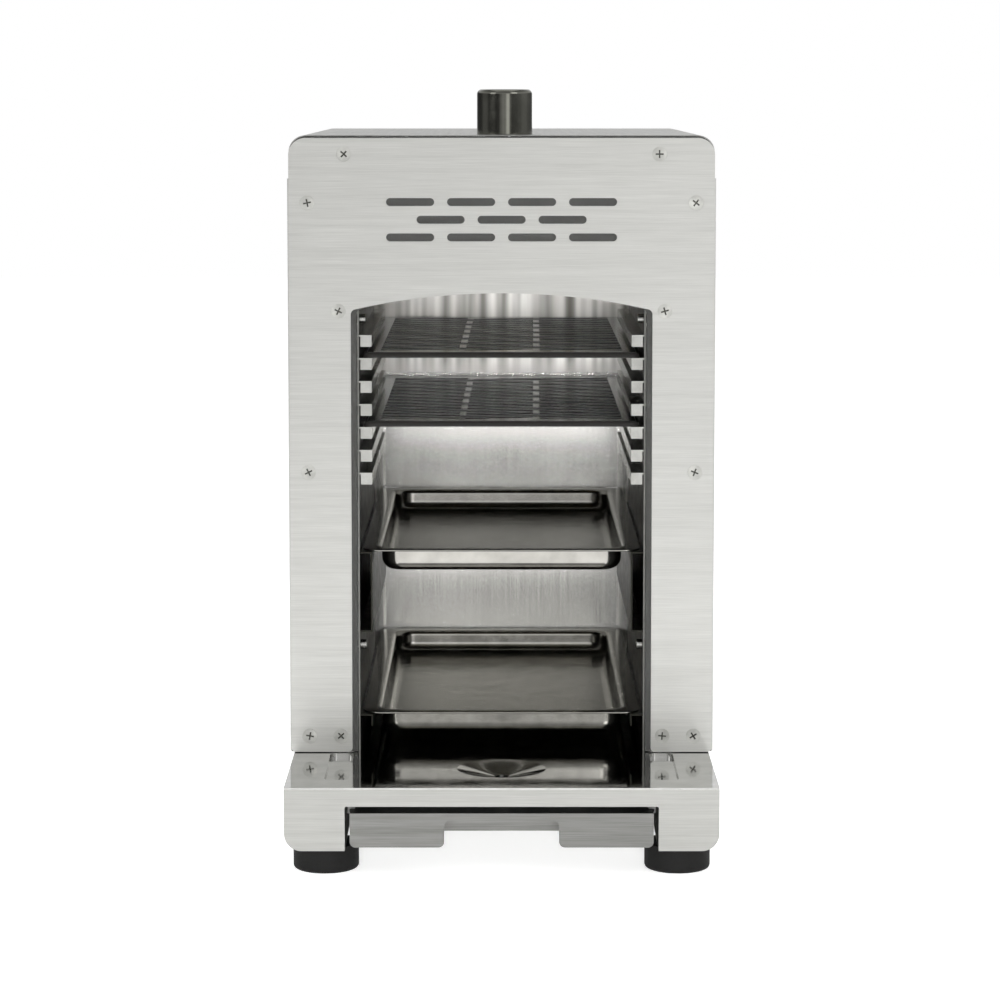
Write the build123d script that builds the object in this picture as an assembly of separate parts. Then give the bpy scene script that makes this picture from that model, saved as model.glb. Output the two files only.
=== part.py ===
from build123d import *

import os
from math import cos, radians, sin, tan

# An overhead gas grill. Millimetres, +Z up, the front looks along -Y.
# The origin is on the table, under the middle of the whole object.

# Food tray: a one-third gastronorm tray, which sets the width and depth of everything round it
TRAY_WIDTH = 176.0
TRAY_LENGTH = 325.0
TRAY_DEPTH = 15.0
TRAY_FLANGE = 12.2
TRAY_SHEET = 0.8
TRAY_CORNER_RADIUS = 12.0
TRAY_BODY_RADIUS = 13.0
TRAY_FLOOR_RADIUS = 6.0
TRAY_LIP_RADIUS = 0.6
TRAY_UPPER_RIM_Z = 182.4
TRAY_LOWER_RIM_Z = 78.5

# Grate: a plate with slanting slots and turned-down edges, narrower than a tray
GRATE_NARROWER = 2.0
GRATE_SHEET = 1.5
GRATE_RIM = 3.5
GRATE_RIM_RADIUS = 3.0
GRATE_CORNER_RADIUS = 5.0
GRATE_FRONT_BORDER = 15.0
GRATE_REAR_BORDER = 13.0
GRATE_SIDE_BORDER = 10.5
SLOT_WIDTH = 8.5
SLOT_PITCH = 21.4
SLOT_SLANT = 13.2
BRIDGE_WIDTH = 4.2
BRIDGE_FROM_MIDDLE = 23.6
BRIDGE_SLANT = 0.6
GROOVE_WIDTH = 8.6
GROOVE_DEPTH = 0.45

# Levels and rails inside
TOP_RAIL_Z = 318.9
RAIL_PITCH = 14.5
RAIL_COUNT = 7
UPPER_GRATE_LEVEL = 1
LOWER_GRATE_LEVEL = 4
RAIL_REACH = 8.0
RAIL_LIP = 7.4
BOX_RAIL_LIP = 51.0
RAIL_SHEET = 1.0
RAIL_TAB_GAP = 1.0
TRAY_SIDE_CLEARANCE = 1.6
RACK_SHEET = 1.0
RACK_SETBACK = 8.0
RACK_LENGTH = 248.0
RACK_TOP_Z = 337.0
RACK_TO_LINER = 3.9
RACK_BOLT_RADIUS = 2.0
RACK_BOLT_HEAD_RADIUS = 3.0
RACK_BOLT_HEAD = 4.0
RACK_BOLT_UPPER_Z = 328.5
RACK_BOLT_LOWER_Z = 121.0
RACK_BOLT_INSET = 11.0
INSERT_SETBACK = 10.0

# Housing
LINER_SHEET = 1.0
LINER_REAR_CLEARANCE = 5.0
LINER_CORNER_RADIUS = 10.0
LINER_FLANGE = 14.0
LINER_TO_REAR = 9.0
WINDOW_INSET = 0.2
WINDOW_CORNER_Z = 335.0
WINDOW_CROWN_Z = 345.7
WINDOW_RADIUS = 3.5
LEG_WIDTH = 38.45
PANEL_SHEET = 2.0
PANEL_TOP_Z = 442.3
PANEL_TOP_RADIUS = 10.5
PANEL_FOOT_RADIUS = 2.5
PANEL_FOOT_GAP = 0.5
FRAME_SHEET = 2.0
FRAME_RISE = 1.3
FRAME_BORDER = 3.8
COVER_SHEET = 1.2
COVER_TOP_Z = 443.9
COVER_SKIRT = 39.0
COVER_FLANGE = 18.0
SIDE_SHEET = 1.0
SIDE_TOP_Z = 417.0
SIDE_FLANGE = 19.0
FLANGE_TONGUE = 8.0
REAR_SHEET = 1.0
REAR_EDGE_DROP = 1.0

# Row of plain round-ended slots in the front panel
VENT_LENGTH = 30.0
VENT_HEIGHT = 5.0
VENT_STEP_X = 38.0
VENT_STEP_Z = 11.0
VENT_MIDDLE_Z = 391.5
VENT_BACK_LENGTH = 46.0
VENT_BACK_STEP_X = 60.0

# Base with drip plate and drawer
BASE_REACH = 105.0
BASE_TOP_Z = 54.6
BASE_SIDE_INSET = 1.75
BASE_SHEET = 1.5
BASE_CORNER_RADIUS = 10.5
BASE_PLATE_SHEET = 1.2
BASE_OPENING_TOP_Z = 43.1
BASE_OPENING_RADIUS = 1.0
GUTTER_WIDTH = 15.0
GUTTER_FROM_WINDOW = -1.3
GUTTER_FRONT_BORDER = 23.0
GUTTER_FROM_PANEL = 2.0
GUTTER_DEPTH = 2.5
GUTTER_RADIUS = 4.0
FUNNEL_RADIUS = 27.5
FUNNEL_DEPTH = 5.0
FUNNEL_THROAT_RADIUS = 5.0
FUNNEL_DRAIN_RADIUS = 4.0
FUNNEL_FROM_PANEL = 48.0
DRAWER_SIDE_GAP = 3.0
DRAWER_SHEET = 1.0
DRAWER_TOP_Z = 38.9
DRAWER_FACE_BOTTOM_Z = 18.0
DRAWER_PAN_BOTTOM_Z = 22.7
DRAWER_RIM = 3.5
DRAWER_PAN_SETBACK = 25.0
DRAWER_PAN_LENGTH = 230.0
DRAWER_NOTCH_HALF = 34.5
DRAWER_NOTCH_TOP_Z = 34.5
DRAWER_NOTCH_RADIUS = 3.6
RUNNER_SHEET = 1.0
RUNNER_GAP = 0.35
STIFFENER_DROP = 9.0
STIFFENER_WIDTH = 24.0
STIFFENER_GAP = 8.0
STIFFENER_SHEET = 1.5
STIFFENER_FROM_REAR = 60.0
FOOT_RADIUS = 20.0
FOOT_HEIGHT = 16.0
FOOT_EDGE_RADIUS = 2.5
FOOT_FROM_SIDE = 24.0
FOOT_FROM_END = 27.0
FOOT_SCREW_RADIUS = 2.5
FOOT_SCREW_HEAD_RADIUS = 4.8
FOOT_SCREW_HEAD = 3.4
FOOT_BORE_RADIUS = 6.0
FOOT_BORE_DEPTH = 8.0
FOOT_NUT_HEIGHT = 4.0

# Burner
ROOF_Z = 352.0
ROOF_SHEET = 1.2
TILE_THICKNESS = 13.0
TILE_COUNT = 3
TILE_GAP = 0.3
PLENUM_SHEET = 1.2
PLENUM_TOP_Z = 396.0
PLENUM_FRONT_GAP = 24.0
PLENUM_REAR_GAP = 18.0
PLENUM_SIDE_GAP = 8.5
PLENUM_FLANGE = 7.0
TILE_LEDGE = 4.5

# Gas valve, knob and pipes
KNOB_X = 2.0
KNOB_FROM_PANEL = 45.0
KNOB_RADIUS = 17.6
KNOB_TOP_Z = 472.4
KNOB_BOTTOM_Z = 437.0
KNOB_WALL = 2.4
KNOB_TOP_RADIUS = 3.0
KNOB_GAP = 0.6
KNOB_BOSS_RADIUS = 7.0
KNOB_BOSS_DROP = 26.0
KNOB_TRAVEL = 4.0
SPINDLE_RADIUS = 3.0
SPINDLE_FLAT = 1.0
COLLAR_RADIUS = 5.4
COLLAR_HEIGHT = 2.0
RUNNING_CLEARANCE = 0.05
CAP_CLEARANCE = 0.1
VALVE_BOTTOM_Z = 404.0
VALVE_HEIGHT = 20.0
VALVE_HALF_WIDTH = 16.0
VALVE_HALF_DEPTH = 18.0
VALVE_NECK_RADIUS = 9.0
VALVE_NECK_HEIGHT = 9.4
VALVE_CAP_HEIGHT = 1.6
PLUG_RADIUS = 6.0
PLUG_HEIGHT = 16.0
PLUG_FLOOR = 2.0
SPRING_WIRE_RADIUS = 0.35
SPRING_RADIUS = 4.5
SPRING_TURNS = 4
PORT_RADIUS = 2.5
BOSS_RADIUS = 6.0
BOSS_LENGTH = 6.0
PIPE_RADIUS = 4.0
PIPE_BORE_RADIUS = 3.0
PIPE_BEND_RADIUS = 16.0
PIPE_X = 60.0
INLET_THREAD_RADIUS = 6.58
INLET_REACH = 22.0
INLET_CHAMFER = 0.8
INLET_STEM_RADIUS = 8.0
INLET_STEM_PAST_NUT = 0.2
INLET_HEX = 19.0
INLET_BODY_LENGTH = 16.0
INLET_SOCKET_DEPTH = 8.0
LOCKNUT_HEX = 22.0
LOCKNUT_HEIGHT = 5.0
JET_RADIUS = 5.0
JET_LENGTH = 8.0
JET_TIP = 3.0
AIR_GAP = 4.0
VENTURI_MOUTH_RADIUS = 14.0
VENTURI_THROAT_RADIUS = 9.0
VENTURI_OUTLET_RADIUS = 12.0
VENTURI_WALL = 1.2
VENTURI_STRAIGHT = 152.0
VENTURI_BEND_RADIUS = 15.0
PROBE_FROM_MIDDLE = 40.0
PROBE_FROM_PANEL = 14.0
PROBE_COLLAR_RADIUS = 6.0
PROBE_DROP = 5.6

# Fasteners
SCREW_HEAD_RADIUS = 4.5
SCREW_RADIUS = 2.5
SCREW_LENGTH = 11.0
SCREW_HOLE_RADIUS = 3.0
SCREW_HEAD_LAND = 0.3
SCREW_RECESS = 0.1
SINK_RIM_GAP = 0.3
SCREW_FROM_SIDE = 11.6
SCREW_FROM_TOP = 10.0
SCREW_TOP_FROM_SIDE = 34.5
SCREW_UPPER_FROM_TOP = 40.3
SCREW_SHOULDER_OUT = 7.7
SCREW_SHOULDER_DROP = 0.6
SCREW_MIDDLE_DROP = 15.6
SCREW_FROM_FOOT = 10.2
SCREW_INNER_OUT = 7.2
NUT_HEX = 8.0
NUT_HEIGHT = 4.0
NUT_CLEARANCE = 0.05
REAR_SCREW_RADIUS = 2.0
REAR_SCREW_HEAD_RADIUS = 3.8
REAR_SCREW_HEAD = 2.2
REAR_SCREW_LENGTH = 8.0
REAR_SCREW_ROWS = 5

# Widths, from the tray outwards
tray_half = TRAY_WIDTH / 2
grate_width = TRAY_WIDTH - GRATE_NARROWER
rack_half = tray_half + TRAY_SIDE_CLEARANCE
liner_half = rack_half + RACK_SHEET + RACK_TO_LINER
window_half = liner_half - WINDOW_INSET
panel_half = window_half + LEG_WIDTH
side_half = panel_half + SIDE_SHEET
base_half = panel_half - BASE_SIDE_INSET
top_screw_x = panel_half - SCREW_TOP_FROM_SIDE
opening_half = liner_half
drawer_half = opening_half - DRAWER_SIDE_GAP
drawer_pan_half = drawer_half - DRAWER_RIM

# Depths, from the front backwards
liner_depth = INSERT_SETBACK + TRAY_LENGTH + LINER_REAR_CLEARANCE
housing_depth = liner_depth + 2 * LINER_SHEET + LINER_TO_REAR + REAR_SHEET
overall_depth = BASE_REACH + housing_depth + INLET_REACH
base_y = -overall_depth / 2
panel_y = base_y + BASE_REACH
frame_y = panel_y + PANEL_SHEET
inner_y = frame_y + FRAME_SHEET
insert_y = panel_y + INSERT_SETBACK
rack_y = panel_y + RACK_SETBACK
liner_rear_y = panel_y + liner_depth + LINER_SHEET
rear_y = panel_y + housing_depth
drawer_rear_y = base_y + DRAWER_PAN_SETBACK + DRAWER_PAN_LENGTH
sheath_rear_y = rear_y - REAR_SHEET

# Heights
panel_bottom = BASE_TOP_Z + PANEL_FOOT_GAP
frame_top = PANEL_TOP_Z + FRAME_RISE
cover_inner_z = COVER_TOP_Z - COVER_SHEET
plate_bottom = BASE_TOP_Z - BASE_PLATE_SHEET
roof_top = ROOF_Z + ROOF_SHEET
valve_top = VALVE_BOTTOM_Z + VALVE_HEIGHT
neck_top = valve_top + VALVE_NECK_HEIGHT
gas_z = VALVE_BOTTOM_Z + VALVE_HEIGHT / 2
grate_rails = [TOP_RAIL_Z - RAIL_PITCH * level for level in range(RAIL_COUNT)]
tray_rails = [TRAY_UPPER_RIM_Z - TRAY_SHEET, TRAY_LOWER_RIM_Z - TRAY_SHEET]
plenum_half = liner_half - PLENUM_SIDE_GAP
plenum_front = panel_y + PLENUM_FRONT_GAP
plenum_rear = panel_y + liner_depth - PLENUM_REAR_GAP
knob_y = panel_y + KNOB_FROM_PANEL


def block(x0, x1, y0, y1, z0, z1):
    """A box between two opposite corners."""
    middle = Pos((x0 + x1) / 2, (y0 + y1) / 2, (z0 + z1) / 2)
    return middle * Box(abs(x1 - x0), abs(y1 - y0), abs(z1 - z0))


def rod(start, end, radius):
    """A round bar from one point to another."""
    run = Vector(*end) - Vector(*start)
    return extrude(Plane(origin=start, z_dir=run) * Circle(radius), amount=run.length)


def hex_bar(start, end, across_flats):
    """A six-sided bar from one point to another."""
    run = Vector(*end) - Vector(*start)
    corner = across_flats / 2 / cos(radians(30))
    return extrude(Plane(origin=start, z_dir=run) * RegularPolygon(corner, 6), amount=run.length)


def wall_plate(outline, front_y, thickness):
    """A plate drawn in X and Z whose front face stands at front_y."""
    plane = Plane(origin=(0, front_y, 0), x_dir=(1, 0, 0), z_dir=(0, -1, 0))
    return extrude(plane * outline, amount=-thickness)


def along_y(profile, start_y, end_y):
    """A profile drawn in X and Z, carried from start_y to end_y."""
    return wall_plate(profile, start_y, end_y - start_y)


def flat_plate(outline, bottom_z, thickness):
    """A plate drawn in X and Y, standing on bottom_z."""
    return extrude(Plane(origin=(0, 0, bottom_z)) * outline, amount=thickness)


def rectangle(x0, x1, y0, y1):
    """A sketch rectangle between two opposite corners."""
    return Pos((x0 + x1) / 2, (y0 + y1) / 2) * Rectangle(abs(x1 - x0), abs(y1 - y0))


def rounded_sheet(half_width, bottom, top, top_radius, bottom_radius=0.0):
    """An upright sheet's outline with its own top and bottom corner radii."""
    sheet = rectangle(-half_width, half_width, bottom, top)
    sheet = fillet(sheet.vertices().group_by(Axis.Y)[-1], top_radius)
    if bottom_radius > 0:
        sheet = fillet(sheet.vertices().group_by(Axis.Y)[0], bottom_radius)
    return sheet


def window_outline(half_width, extra=0.0):
    """The arched opening of the cooking space, open at the bottom, grown by extra."""
    side = half_width + extra
    shoulder = WINDOW_CORNER_Z + extra
    legs = Polyline((side, shoulder), (side, 0), (-side, 0), (-side, shoulder))
    arch = ThreePointArc((-side, shoulder), (0, WINDOW_CROWN_Z + extra), (side, shoulder))
    face = make_face(legs + arch)
    return fillet(face.vertices().group_by(Axis.Y)[-1], WINDOW_RADIUS)


def mirrored(solid):
    """A copy of a solid on the other side of the X = 0 plane."""
    return mirror(solid, about=Plane.YZ)


def screw_spots():
    """Where the front panel's screws stand, as X and Z, right side first."""
    outer = panel_half - SCREW_FROM_SIDE
    right = [
        (top_screw_x, PANEL_TOP_Z - SCREW_FROM_TOP),
        (outer, PANEL_TOP_Z - SCREW_UPPER_FROM_TOP),
        (window_half + SCREW_SHOULDER_OUT, WINDOW_CORNER_Z - SCREW_SHOULDER_DROP),
        (outer, (PANEL_TOP_Z + panel_bottom) / 2 - SCREW_MIDDLE_DROP),
        (outer, panel_bottom + SCREW_FROM_FOOT),
        (window_half + SCREW_INNER_OUT, panel_bottom + SCREW_FROM_FOOT),
    ]
    return right + [(-x, z) for x, z in right]


def vent_spots():
    """Middles of the round-ended slots: rows of four, three and four."""
    spots = []
    for row, count in ((1, 4), (0, 3), (-1, 4)):
        first = -(count - 1) / 2 * VENT_STEP_X
        spots += [(first + i * VENT_STEP_X, VENT_MIDDLE_Z + row * VENT_STEP_Z) for i in range(count)]
    return spots


def front_panel():
    """The brushed front plate with its countersunk screw holes."""
    outline = rounded_sheet(panel_half, panel_bottom, PANEL_TOP_Z, PANEL_TOP_RADIUS)
    outline -= window_outline(window_half)
    feet = outline.vertices().group_by(Axis.Y)[0]
    outline = fillet(feet, PANEL_FOOT_RADIUS)
    outline -= [Pos(x, z) * SlotOverall(VENT_LENGTH, VENT_HEIGHT) for x, z in vent_spots()]
    plate = wall_plate(outline, panel_y, PANEL_SHEET)
    rim = SCREW_RECESS + SCREW_HEAD_LAND
    for x, z in screw_spots():
        plate -= rod((x, panel_y - 1, z), (x, frame_y + 1, z), SCREW_HOLE_RADIUS)
        plate -= rod((x, panel_y - 1, z), (x, panel_y + rim, z), SCREW_HEAD_RADIUS + SINK_RIM_GAP)
        plate -= sink_cone(x, z, SCREW_HEAD_RADIUS + NUT_CLEARANCE)
    return plate


def sink_cone(x, z, radius):
    """A 90 degree cone that starts below the screw head's straight rim."""
    depth = radius - SCREW_RADIUS
    top_y = panel_y + SCREW_RECESS + SCREW_HEAD_LAND
    place = Plane(origin=(x, top_y + depth / 2, z), z_dir=(0, 1, 0))
    return place * Cone(radius, SCREW_RADIUS, depth)


def front_frame():
    """The black frame behind the front panel: a little higher, and with a narrower opening."""
    radius = PANEL_TOP_RADIUS + FRAME_RISE
    outline = rounded_sheet(panel_half, panel_bottom, frame_top, radius)
    outline -= window_outline(window_half - FRAME_BORDER, WINDOW_INSET)
    outline -= [Pos(x, z) * Circle(SCREW_HOLE_RADIUS) for x, z in screw_spots()]
    return wall_plate(outline, frame_y, FRAME_SHEET)


def panel_screw(x, z, turn):
    """A countersunk screw with a cross recess turned by some degrees."""
    face_y = panel_y + SCREW_RECESS
    screw = sink_cone(x, z, SCREW_HEAD_RADIUS)
    screw += rod((x, face_y, z), (x, face_y + SCREW_HEAD_LAND, z), SCREW_HEAD_RADIUS)
    screw += rod((x, face_y + SCREW_HEAD_LAND, z), (x, panel_y + SCREW_LENGTH, z), SCREW_RADIUS)
    face = Plane(origin=(x, panel_y + 0.5, z), z_dir=(0, 1, 0)) * Rot(0, 0, turn)
    return screw - face * Box(5.0, 1.0, 1.4) - face * Box(1.0, 5.0, 1.4)


def panel_screws():
    """The twelve panel screws as separate solids, each stopped at its own angle."""
    return [panel_screw(x, z, 37.0 * i % 90) for i, (x, z) in enumerate(screw_spots())]


def nut_seat_y(x):
    """Where a panel nut sits: behind the flange that its screw clamps."""
    clamped = SIDE_SHEET if abs(x) > panel_half - SIDE_FLANGE else LINER_SHEET
    is_top_screw = abs(abs(x) - top_screw_x) < 0.01
    return inner_y + (COVER_SHEET if is_top_screw else clamped)


def panel_nuts():
    """One six-sided nut behind the frame for each panel screw."""
    nuts = []
    for x, z in screw_spots():
        seat = nut_seat_y(x)
        nut = hex_bar((x, seat, z), (x, seat + NUT_HEIGHT, z), NUT_HEX)
        hole = SCREW_RADIUS + NUT_CLEARANCE
        nuts.append(nut - rod((x, seat - 1, z), (x, seat + NUT_HEIGHT + 1, z), hole))
    return nuts


def top_cover():
    """The grey cover: a bent sheet with skirts, end flanges and the knob's hole."""
    skirt_z = COVER_TOP_Z - COVER_SKIRT
    outer = rounded_sheet(panel_half, skirt_z, COVER_TOP_Z, PANEL_TOP_RADIUS)
    inner_radius = PANEL_TOP_RADIUS - COVER_SHEET
    inner = rounded_sheet(panel_half - COVER_SHEET, skirt_z - 1, cover_inner_z, inner_radius)
    cover = along_y(outer - inner, inner_y, sheath_rear_y)
    flange = inner - rectangle(-panel_half, panel_half, skirt_z - 2, COVER_TOP_Z - COVER_FLANGE)
    front = along_y(flange, inner_y, inner_y + COVER_SHEET)
    rear = along_y(flange, sheath_rear_y - COVER_SHEET, sheath_rear_y)
    cover += [front, rear]
    for x, z in screw_spots():
        cover -= rod((x, inner_y - 1, z), (x, inner_y + 3, z), SCREW_HOLE_RADIUS)
    hole = KNOB_RADIUS + KNOB_GAP
    return cover - rod((KNOB_X, knob_y, cover_inner_z - 1), (KNOB_X, knob_y, COVER_TOP_Z + 1), hole)


def side_panel():
    """The right outer side: a sheet with a flange turned in at the front and at the rear."""
    sheet = block(panel_half, side_half, inner_y, sheath_rear_y, panel_bottom, SIDE_TOP_Z)
    inner_x = panel_half - SIDE_FLANGE
    flange_top = COVER_TOP_Z - COVER_SKIRT - 1.0
    front = block(inner_x, panel_half, inner_y, inner_y + SIDE_SHEET, panel_bottom, flange_top)
    front += block(inner_x, panel_half - 2 * COVER_SHEET, inner_y, inner_y + SIDE_SHEET,
                   flange_top, flange_top + FLANGE_TONGUE)
    rear = block(inner_x, panel_half, sheath_rear_y - SIDE_SHEET, sheath_rear_y, panel_bottom, flange_top)
    panel = sheet + front + rear
    for x, z in screw_spots():
        panel -= rod((x, inner_y - 1, z), (x, inner_y + 3, z), SCREW_HOLE_RADIUS)
    for x, z in rear_screw_spots():
        panel -= rod((x, rear_y - 6, z), (x, rear_y + 1, z), REAR_SCREW_RADIUS + NUT_CLEARANCE)
    return panel


def rear_screw_spots():
    """Where the rear panel's screws stand, as X and Z."""
    low = panel_bottom + 15.0
    step = (SIDE_TOP_Z - 35.0 - low) / (REAR_SCREW_ROWS - 1)
    x = panel_half - SIDE_FLANGE / 2
    return [(side * x, low + row * step) for side in (-1, 1) for row in range(REAR_SCREW_ROWS)]


def rear_panel():
    """The rear sheet with cooling slots, screw holes and the gas inlet's hole."""
    top = COVER_TOP_Z - REAR_EDGE_DROP
    outline = rounded_sheet(panel_half, panel_bottom, top, PANEL_TOP_RADIUS)
    for row in range(5):
        for column in (-1, 0, 1):
            spot = Pos(column * VENT_BACK_STEP_X, ROOF_Z - 50.0 + row * 18.0)
            outline -= spot * SlotOverall(VENT_BACK_LENGTH, VENT_HEIGHT)
    outline -= [Pos(x, z) * Circle(REAR_SCREW_RADIUS + NUT_CLEARANCE) for x, z in rear_screw_spots()]
    outline -= Pos(PIPE_X, gas_z) * Circle(INLET_STEM_RADIUS + 0.2)
    return wall_plate(outline, rear_y - REAR_SHEET, REAR_SHEET)


def rear_screws():
    """Pan-head screws that hold the rear panel to the side panels."""
    screws = []
    for x, z in rear_screw_spots():
        shank = rod((x, rear_y - REAR_SCREW_LENGTH, z), (x, rear_y, z), REAR_SCREW_RADIUS)
        head = rod((x, rear_y, z), (x, rear_y + REAR_SCREW_HEAD, z), REAR_SCREW_HEAD_RADIUS)
        head = fillet(head.edges().group_by(Axis.Y)[-1], 0.8)
        face = Plane(origin=(x, rear_y + REAR_SCREW_HEAD, z), z_dir=(0, 1, 0))
        screws.append(shank + head - face * Box(4.2, 0.9, 2.0) - face * Box(0.9, 4.2, 2.0))
    return screws


def liner_side():
    """The right wall of the cooking chamber, with a flange behind the frame."""
    back = liner_rear_y - LINER_SHEET - LINER_CORNER_RADIUS
    wall = block(liner_half, liner_half + LINER_SHEET, inner_y, back, BASE_TOP_Z, ROOF_Z)
    flange = block(liner_half, liner_half + LINER_FLANGE, inner_y, inner_y + LINER_SHEET, BASE_TOP_Z, ROOF_Z)
    liner = wall + flange
    for x, z in screw_spots():
        liner -= rod((x, inner_y - 1, z), (x, inner_y + 3, z), SCREW_HOLE_RADIUS)
    for y, z in rack_bolt_spots():
        liner -= rod((rack_half, y, z), (liner_half + 3, y, z), RACK_BOLT_RADIUS + NUT_CLEARANCE)
    return liner


def liner_back():
    """The rear wall of the chamber with its two rounded corners."""
    front = liner_rear_y - LINER_SHEET - LINER_CORNER_RADIUS
    half = liner_half + LINER_SHEET
    outer = rectangle(-half, half, front - 20, liner_rear_y)
    outer = fillet(outer.vertices().group_by(Axis.Y)[-1], LINER_CORNER_RADIUS + LINER_SHEET)
    inner = rectangle(-liner_half, liner_half, front - 30, liner_rear_y - LINER_SHEET)
    inner = fillet(inner.vertices().group_by(Axis.Y)[-1], LINER_CORNER_RADIUS)
    keep = rectangle(-half, half, front, liner_rear_y)
    return flat_plate((outer - inner) & keep, BASE_TOP_Z, ROOF_Z - BASE_TOP_Z)


def liner_spacers():
    """Four short posts between the chamber's rear wall and the rear panel."""
    spots = [(side * 70.0, z) for side in (-1, 1) for z in (110.0, 270.0)]
    return [rod((x, liner_rear_y, z), (x, sheath_rear_y, z), 4.0) for x, z in spots]


def chamber_roof():
    """The sheet that closes the chamber round the burner's opening."""
    roof = rectangle(-liner_half - LINER_SHEET, liner_half + LINER_SHEET, inner_y, liner_rear_y)
    edge = plenum_half - PLENUM_SHEET - TILE_GAP - TILE_LEDGE
    margin = PLENUM_SHEET + TILE_GAP + TILE_LEDGE
    roof -= rectangle(-edge, edge, plenum_front + margin, plenum_rear - margin)
    for side in (-1, 1):
        roof -= Pos(side * PROBE_FROM_MIDDLE, panel_y + PROBE_FROM_PANEL) * Circle(3.6)
    return flat_plate(roof, ROOF_Z, ROOF_SHEET)


def burner_tiles():
    """Ceramic burner tiles laid end to end on the roof's inner ledge."""
    half = plenum_half - PLENUM_SHEET - TILE_GAP
    front = plenum_front + PLENUM_SHEET + TILE_GAP
    rear = plenum_rear - PLENUM_SHEET - TILE_GAP
    length = (rear - front - (TILE_COUNT - 1) * TILE_GAP) / TILE_COUNT
    starts = [front + i * (length + TILE_GAP) for i in range(TILE_COUNT)]
    return [block(-half, half, y, y + length, roof_top, roof_top + TILE_THICKNESS) for y in starts]


def burner_plenum():
    """The gas chamber over the tiles: a box open below, with a foot flange."""
    box = block(-plenum_half, plenum_half, plenum_front, plenum_rear, roof_top, PLENUM_TOP_Z)
    foot = block(
        -plenum_half - PLENUM_FLANGE, plenum_half + PLENUM_FLANGE,
        plenum_front - 3.0, plenum_rear + PLENUM_FLANGE, roof_top, roof_top + PLENUM_SHEET,
    )
    inside = block(
        -plenum_half + PLENUM_SHEET, plenum_half - PLENUM_SHEET,
        plenum_front + PLENUM_SHEET, plenum_rear - PLENUM_SHEET,
        roof_top - 1, PLENUM_TOP_Z - PLENUM_SHEET,
    )
    drop_y = venturi_drop_y()
    bore = VENTURI_OUTLET_RADIUS - VENTURI_WALL
    inlet = rod((KNOB_X, drop_y, PLENUM_TOP_Z - 5), (KNOB_X, drop_y, PLENUM_TOP_Z + 5), bore)
    return box + foot - inside - inlet


def venturi_start_y():
    """Where the mixing tube's mouth stands, behind the jet and the air gap."""
    return knob_y + VALVE_HALF_DEPTH + BOSS_LENGTH + JET_LENGTH + JET_TIP + AIR_GAP


def venturi_drop_y():
    """Where the mixing tube comes down into the burner box."""
    return venturi_start_y() + VENTURI_STRAIGHT + VENTURI_BEND_RADIUS


def venturi_axis(turn_z):
    """The tube's path: straight back, a quarter bend, then down to turn_z."""
    start = Vector(KNOB_X, venturi_start_y() + VENTURI_STRAIGHT, gas_z)
    bend_y = venturi_drop_y()
    low = (KNOB_X, bend_y, gas_z - VENTURI_BEND_RADIUS)
    mid_shift = VENTURI_BEND_RADIUS * sin(radians(45))
    middle = (KNOB_X, start.Y + mid_shift, gas_z - VENTURI_BEND_RADIUS + mid_shift)
    arc = ThreePointArc(start, middle, low)
    return arc + Line(low, (KNOB_X, bend_y, turn_z))


def venturi_tube():
    """The mixing tube: a flared mouth, a narrow throat, a widening run and a bend."""
    start = venturi_start_y()
    outer = [
        (0, VENTURI_MOUTH_RADIUS), (14, VENTURI_THROAT_RADIUS), (34, VENTURI_THROAT_RADIUS),
        (110, VENTURI_OUTLET_RADIUS), (VENTURI_STRAIGHT, VENTURI_OUTLET_RADIUS),
    ]
    inner = [(x, r - VENTURI_WALL) for x, r in outer]
    profile = make_face(Polyline(*outer, *reversed(inner), outer[0]))
    plane = Plane(origin=(KNOB_X, start, gas_z), x_dir=(0, 1, 0), z_dir=(1, 0, 0))
    straight = revolve(plane * profile, Axis((KNOB_X, start, gas_z), (0, 1, 0)), 360)
    path = venturi_axis(PLENUM_TOP_Z)
    ring_plane = Plane(origin=(KNOB_X, start + VENTURI_STRAIGHT, gas_z), z_dir=(0, 1, 0))
    ring = Circle(VENTURI_OUTLET_RADIUS) - Circle(VENTURI_OUTLET_RADIUS - VENTURI_WALL)
    bend = sweep(ring_plane * ring, path=path)
    foot = Plane(origin=(KNOB_X, venturi_drop_y(), PLENUM_TOP_Z))
    flange = Circle(VENTURI_OUTLET_RADIUS + 6) - Circle(VENTURI_OUTLET_RADIUS - 0.5)
    return straight + bend + extrude(foot * flange, amount=1.5)


def valve_body():
    """The valve block with its plug bore, spring neck and gas ports."""
    y0, y1 = knob_y - VALVE_HALF_DEPTH, knob_y + VALVE_HALF_DEPTH
    x0, x1 = KNOB_X - VALVE_HALF_WIDTH, KNOB_X + VALVE_HALF_WIDTH
    body = block(x0, x1, y0, y1, VALVE_BOTTOM_Z, valve_top)
    body = fillet(body.edges().filter_by(Axis.Z), 3.0)
    body += rod((KNOB_X, knob_y, valve_top), (KNOB_X, knob_y, neck_top), VALVE_NECK_RADIUS)
    body += rod((KNOB_X, y1, gas_z), (KNOB_X, y1 + BOSS_LENGTH, gas_z), BOSS_RADIUS)
    body += rod((x1, knob_y, gas_z), (x1 + BOSS_LENGTH, knob_y, gas_z), BOSS_RADIUS)
    body -= rod((KNOB_X, knob_y, VALVE_BOTTOM_Z + PLUG_FLOOR), (KNOB_X, knob_y, neck_top + 1), PLUG_RADIUS)
    body -= rod((KNOB_X, knob_y, gas_z), (KNOB_X, y1 + BOSS_LENGTH + 1, gas_z), PORT_RADIUS)
    body -= rod((KNOB_X, knob_y, gas_z), (x1 + BOSS_LENGTH + 1, knob_y, gas_z), PORT_RADIUS)
    return body


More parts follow.
